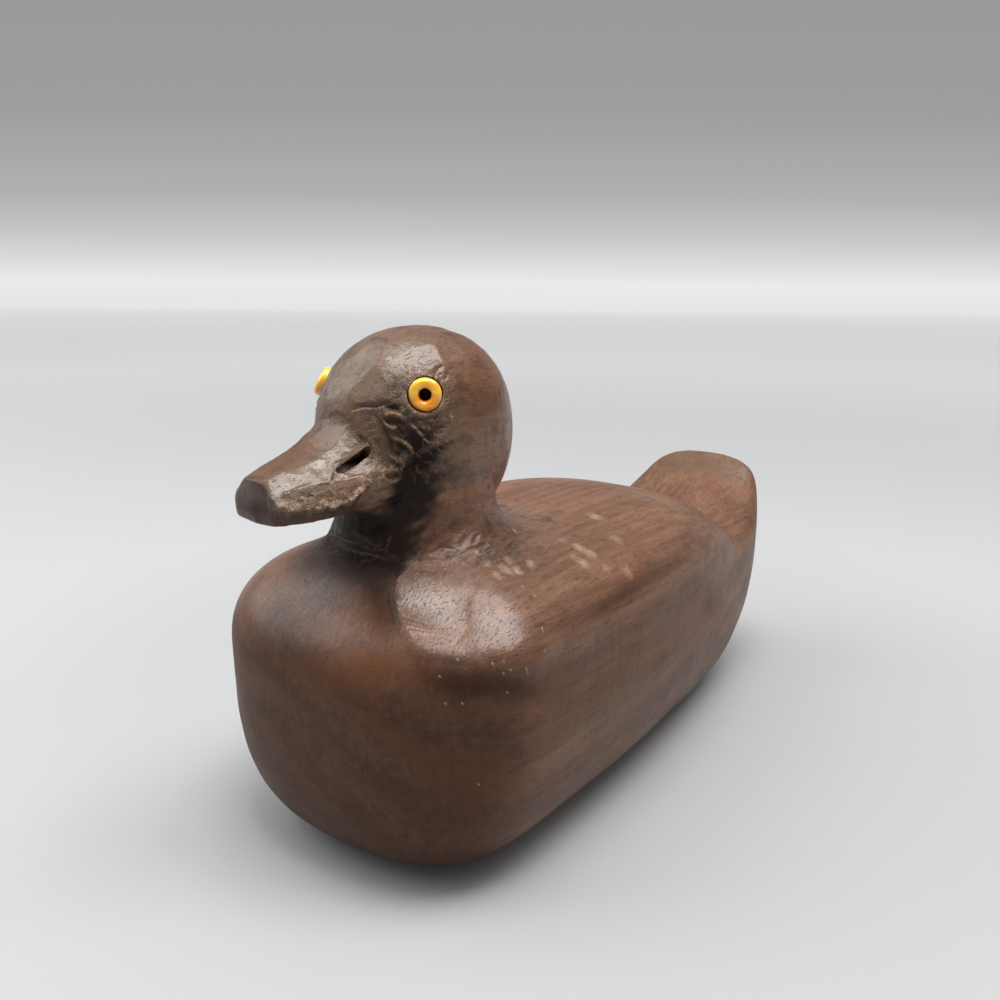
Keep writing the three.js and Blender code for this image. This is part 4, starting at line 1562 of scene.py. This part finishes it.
def ring_tree(material):
    """Geometry Nodes that sweep a rounded section round a circle, with a hand-made wobble."""
    tree = bpy.data.node_groups.new("Ring bead", "GeometryNodeTree")
    sockets = {}
    for label, kind in (("Radius", "Float"), ("Hole", "Float"), ("Thickness", "Float"), ("Seed", "Int")):
        socket = tree.interface.new_socket(label, in_out="INPUT", socket_type="NodeSocket" + kind)
        sockets[label] = socket.identifier
    tree.interface.new_socket("Bead", in_out="OUTPUT", socket_type="NodeSocketGeometry")
    given = tree.nodes.new("NodeGroupInput").outputs
    middle = times(tree, maths(tree, "ADD", given["Radius"], given["Hole"]), 0.5)
    width = maths(tree, "SUBTRACT", given["Radius"], given["Hole"])
    ring = node(tree, "GeometryNodeCurvePrimitiveCircle", Resolution=RING_POINTS)
    feed(tree, middle, ring.inputs["Radius"])
    section = node(tree, "GeometryNodeCurvePrimitiveQuadrilateral")
    feed(tree, width, section.inputs["Width"])
    feed(tree, given["Thickness"], section.inputs["Height"])
    rounded = node(tree, "GeometryNodeFilletCurve", mode="POLY", Count=CORNER_POINTS)
    feed(tree, section.outputs[0], rounded.inputs["Curve"])
    feed(tree, times(tree, width, CORNER_SHARE), rounded.inputs["Radius"])
    swept = tree.nodes.new("GeometryNodeCurveToMesh")
    feed(tree, ring.outputs[0], swept.inputs["Curve"])
    feed(tree, rounded.outputs[0], swept.inputs["Profile Curve"])
    wobble = node(tree, "ShaderNodeTexNoise", noise_dimensions="4D", Scale=WOBBLE_SCALE, Detail=1.0)
    feed(tree, given["Seed"], wobble.inputs["W"])
    inward = times(tree, wobble.outputs["Fac"], -WOBBLE)
    push = node(tree, "ShaderNodeVectorMath", operation="SCALE")
    feed(tree, tree.nodes.new("GeometryNodeInputNormal").outputs[0], push.inputs[0])
    feed(tree, inward, push.inputs["Scale"])
    moved = tree.nodes.new("GeometryNodeSetPosition")
    feed(tree, swept.outputs[0], moved.inputs["Geometry"])
    feed(tree, push.outputs[0], moved.inputs["Offset"])
    real = tree.nodes.new("GeometryNodeRealizeInstances")
    feed(tree, moved.outputs[0], real.inputs[0])
    coloured = node(tree, "GeometryNodeSetMaterial", Material=material)
    feed(tree, real.outputs[0], coloured.inputs["Geometry"])
    feed(tree, coloured.outputs[0], tree.nodes.new("NodeGroupOutput").inputs[0])
    return tree, sockets


def ring_bead(name, eye, sizes, tree, sockets, seed):
    """One bead as a plain mesh, set in its socket."""
    bead = bpy.data.objects.new(name, bpy.data.meshes.new(name))
    bpy.context.scene.collection.objects.link(bead)
    shape = bead.modifiers.new("Ring", "NODES")
    shape.node_group = tree
    inputs = {"Radius": sizes.radius, "Hole": sizes.hole, "Thickness": sizes.thickness, "Seed": seed}
    for label, value in inputs.items():
        shape[sockets[label]] = value
    applied(bead)
    turn = Vector((0, 0, 1)).rotation_difference(Vector(eye["out"])).to_matrix().to_4x4()
    bead.data.transform(Matrix.Translation(Vector(eye["middle"])) @ turn)
    shell = bmesh.new()
    shell.from_mesh(bead.data)
    bmesh.ops.recalc_face_normals(shell, faces=shell.faces)
    shell.to_mesh(bead.data)
    shell.free()
    bead.data.shade_smooth()
    return bead


EYES = {"left_eye": "left_eye_bead", "right_eye": "right_eye_bead"}


class DUCK_OT_carve(bpy.types.Operator):
    """Carve the duck's body, head and bill from the CAD block and wax it"""

    bl_idname = "duck.carve"
    bl_label = "Carve duck"

    def execute(self, context):
        scene = context.scene
        eyes = {name: eye_place(cad, scene.duck_eyes) for name, cad in EYES.items()}
        holes = all_holes(eyes, scene.duck_eyes)
        blank = sanded_blank(scene.duck_carving, holes)
        duck = carved(blank, scene.duck_carving, scene.duck_stage, eyes, holes)
        duck.name = "carved_duck"
        context.view_layer.update()
        duck.data.materials.append(wood_material(scene.duck_wood, duck, scene.duck_stage))
        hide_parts("duck_carving")
        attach(duck, "root")
        return {"FINISHED"}


class DUCK_OT_eyes(bpy.types.Operator):
    """Set a glass ring bead into each eye socket"""

    bl_idname = "duck.eyes"
    bl_label = "Set eyes"

    def execute(self, context):
        sizes = context.scene.duck_eyes
        tree, sockets = ring_tree(glass_material(sizes))
        for seed, (name, cad) in enumerate(EYES.items()):
            bead = ring_bead(name, eye_place(cad, sizes), sizes, tree, sockets, seed)
            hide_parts(cad)
            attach(bead, "root")
        return {"FINISHED"}


# Stage

WALL_TONES = [  # height up the backdrop in metres, grey
    (0.00, 0.78),
    (0.06, 0.82),
    (0.10, 0.72),
    (0.17, 0.56),
    (0.26, 0.43),
    (0.45, 0.335),
    (0.70, 0.315),
]
WALL_TOP = 1.0
WALL_HALF_WIDTH = 6
WALL_HEIGHT = 4
WALL_BEHIND = 2.2
FLOOR_REACH = 3.0
FLOOR_GLOW = [  # distances from the duck in metres where the glow changes, and the glow added at each
    (0.08, 0.19, 0.02, 0.12),
    (0.19, 0.9, 0.0, 0.24),
    (1.0, 2.3, 0.0, 0.07),
]
LAMP_WHITE = (1.0, 0.985, 0.97)
PANEL_WHITE = (0.97, 0.985, 1.0)
LAMPS = {  # setting with its place, width and height in metres, watts, colour
    "Front softbox": ("front_lamp", (0.20, 0.28), 2.2, LAMP_WHITE),
    "Right softbox": ("right_lamp", (0.24, 0.24), 1.9, LAMP_WHITE),
    "Side panel": ("side_lamp", (0.5, 0.5), 1.8, PANEL_WHITE),
}
LIT_POINT = (0.0, -0.05, 0.04)
ROOM_DARK = (0.05, 0.05, 0.054, 1)
ROOM_SIDE = (0.5, 0.51, 0.52, 1)
ROOM_CEILING = (1.5, 1.51, 1.53, 1)


def floor_material(stage):
    """Pale matt card, hardly uneven, with a faint glow that grows with distance."""
    material, tree, shader = new_material("Floor")
    place = place_in_object(tree)
    cloudy = stretched_noise(tree, place, (160, 160, 160), detail=2.0)
    low = (*[value * 0.97 for value in stage.floor_colour], 1)
    feed(tree, mixed(tree, cloudy, low, (*stage.floor_colour, 1)), shader.inputs["Base Color"])
    shader.inputs["Roughness"].default_value = 0.6
    away = node(tree, "ShaderNodeVectorMath", operation="LENGTH")
    feed(tree, place, away.inputs[0])
    feed(tree, (1.0, 1.0, 1.0, 1.0), shader.inputs["Emission Color"])
    first, second, third = (ramp(tree, away.outputs["Value"], *change) for change in FLOOR_GLOW)
    glow = maths(tree, "ADD", maths(tree, "ADD", first, second), third)
    feed(tree, glow, shader.inputs["Emission Strength"])
    return material


def wall_material():
    """Backdrop that glows brightest low down and greys with height."""
    material, tree, shader = new_material("Wall")
    split = node(tree, "ShaderNodeSeparateXYZ")
    feed(tree, place_in_object(tree), split.inputs[0])
    height = maths(tree, "DIVIDE", split.outputs["Z"], WALL_TOP)
    tones = tree.nodes.new("ShaderNodeValToRGB")
    for i, (up, grey) in enumerate(WALL_TONES):
        stop = tones.color_ramp.elements[i] if i < 2 else tones.color_ramp.elements.new(up)
        stop.position = up / WALL_TOP
        stop.color = (grey, grey * 1.01, grey * 1.03, 1)
    feed(tree, height, tones.inputs[0])
    feed(tree, tones.outputs[0], shader.inputs["Emission Color"])
    shader.inputs["Emission Strength"].default_value = 1.0
    shader.inputs["Base Color"].default_value = (0.0, 0.0, 0.0, 1.0)
    shader.inputs["Specular IOR Level"].default_value = 0.0
    return material


def sheet_of(name, corners):
    mesh = bpy.data.meshes.new(name)
    mesh.from_pydata(corners, [], [list(range(len(corners)))])
    obj = bpy.data.objects.new(name, mesh)
    bpy.context.scene.collection.objects.link(obj)
    return obj


def soft_light(name, place, size, watts, colour):
    """Rectangular lamp that looks at the duck."""
    lamp = bpy.data.lights.new(name, "AREA")
    lamp.shape = "RECTANGLE"
    lamp.size, lamp.size_y = size
    lamp.energy = watts
    lamp.color = colour
    obj = bpy.data.objects.new(name, lamp)
    obj.location = place
    obj.rotation_euler = (Vector(LIT_POINT) - Vector(place)).to_track_quat("-Z", "Y").to_euler()
    bpy.context.scene.collection.objects.link(obj)


def light_room(scene):
    """Room light: a bright ceiling, a greyer side and dark elsewhere."""
    world = bpy.data.worlds.new("Room")
    scene.world = world
    world.use_nodes = True
    room = world.node_tree
    way = node(room, "ShaderNodeSeparateXYZ")
    feed(room, node(room, "ShaderNodeTexCoord").outputs["Generated"], way.inputs[0])
    across, upward = way.outputs["X"], way.outputs["Z"]
    beside = times(room, ramp(room, across, -0.3, -0.8), ramp(room, upward, 0.0, 0.2))
    low = mixed(room, beside, ROOM_DARK, ROOM_SIDE)
    sky = mixed(room, ramp(room, upward, 0.55, 0.85), low, ROOM_CEILING)
    feed(room, sky, room.nodes["Background"].inputs["Color"])


class DUCK_OT_stage(bpy.types.Operator):
    """Lay the pale floor and backdrop, and place the camera and the soft lights"""

    bl_idname = "duck.stage"
    bl_label = "Set stage"

    def execute(self, context):
        scene = context.scene
        stage = scene.duck_stage
        right, up, back, place = camera_axes(stage)
        camera = bpy.data.objects.new("Camera", bpy.data.cameras.new("Camera"))
        camera.data.lens = stage.lens
        camera.data.sensor_width = SENSOR_WIDTH
        camera.data.clip_start = 0.01
        camera.matrix_world = Matrix((right, up, back)).transposed().to_4x4()
        camera.location = place
        scene.collection.objects.link(camera)
        scene.camera = camera

        floor = sheet_of("floor", [
            (-FLOOR_REACH, -FLOOR_REACH, 0),
            (FLOOR_REACH, -FLOOR_REACH, 0),
            (FLOOR_REACH, FLOOR_REACH, 0),
            (-FLOOR_REACH, FLOOR_REACH, 0),
        ])
        floor.data.materials.append(floor_material(stage))
        away = Vector((-back.x, -back.y, 0)).normalized()
        aside = Vector((away.y, -away.x, 0)) * WALL_HALF_WIDTH
        foot = away * WALL_BEHIND
        top = foot + Vector((0, 0, WALL_HEIGHT))
        wall = sheet_of("backdrop", [foot - aside, foot + aside, top + aside, top - aside])
        wall.data.materials.append(wall_material())
        floor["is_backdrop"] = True
        wall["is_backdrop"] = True
        for name, (setting, *sizes) in LAMPS.items():
            soft_light(name, getattr(stage, setting), *sizes)
        light_room(scene)
        scene.view_settings.view_transform = "Standard"
        return {"FINISHED"}


class DUCK_PT_panel(bpy.types.Panel):
    """Lists the duck's pieces and the stage"""

    bl_idname = "DUCK_PT_panel"
    bl_label = "Carved duck"
    bl_space_type = "VIEW_3D"
    bl_region_type = "UI"
    bl_category = "Carved duck"

    def draw(self, context):
        for settings, operator in PANEL_ROWS:
            group = getattr(context.scene, settings)
            box = self.layout.box()
            for name in group.__annotations__:
                box.prop(group, name)
            if operator:
                box.operator(operator)


PANEL_ROWS = [
    ("duck_carving", "duck.carve"),
    ("duck_wood", None),
    ("duck_eyes", "duck.eyes"),
    ("duck_stage", "duck.stage"),
]
SETTINGS = {
    "duck_carving": CarvingSizes,
    "duck_wood": WoodFinish,
    "duck_eyes": EyeSizes,
    "duck_stage": StageSizes,
}
CLASSES = (*SETTINGS.values(), DUCK_OT_carve, DUCK_OT_eyes, DUCK_OT_stage, DUCK_PT_panel)


def register():
    for cls in CLASSES:
        bpy.utils.register_class(cls)
    for name, group in SETTINGS.items():
        setattr(bpy.types.Scene, name, PointerProperty(type=group))


def unregister():
    for name in SETTINGS:
        delattr(bpy.types.Scene, name)
    for cls in reversed(CLASSES):
        bpy.utils.unregister_class(cls)


def main():
    register()
    bpy.ops.duck.carve()
    bpy.ops.duck.eyes()
    bpy.ops.duck.stage()
    bpy.context.view_layer.update()
    boxes = {name: [list(corner) for corner in box] for name, box in (("cad", CAD_BOX), ("visual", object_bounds()))}


if __name__ == "__main__":
    main()
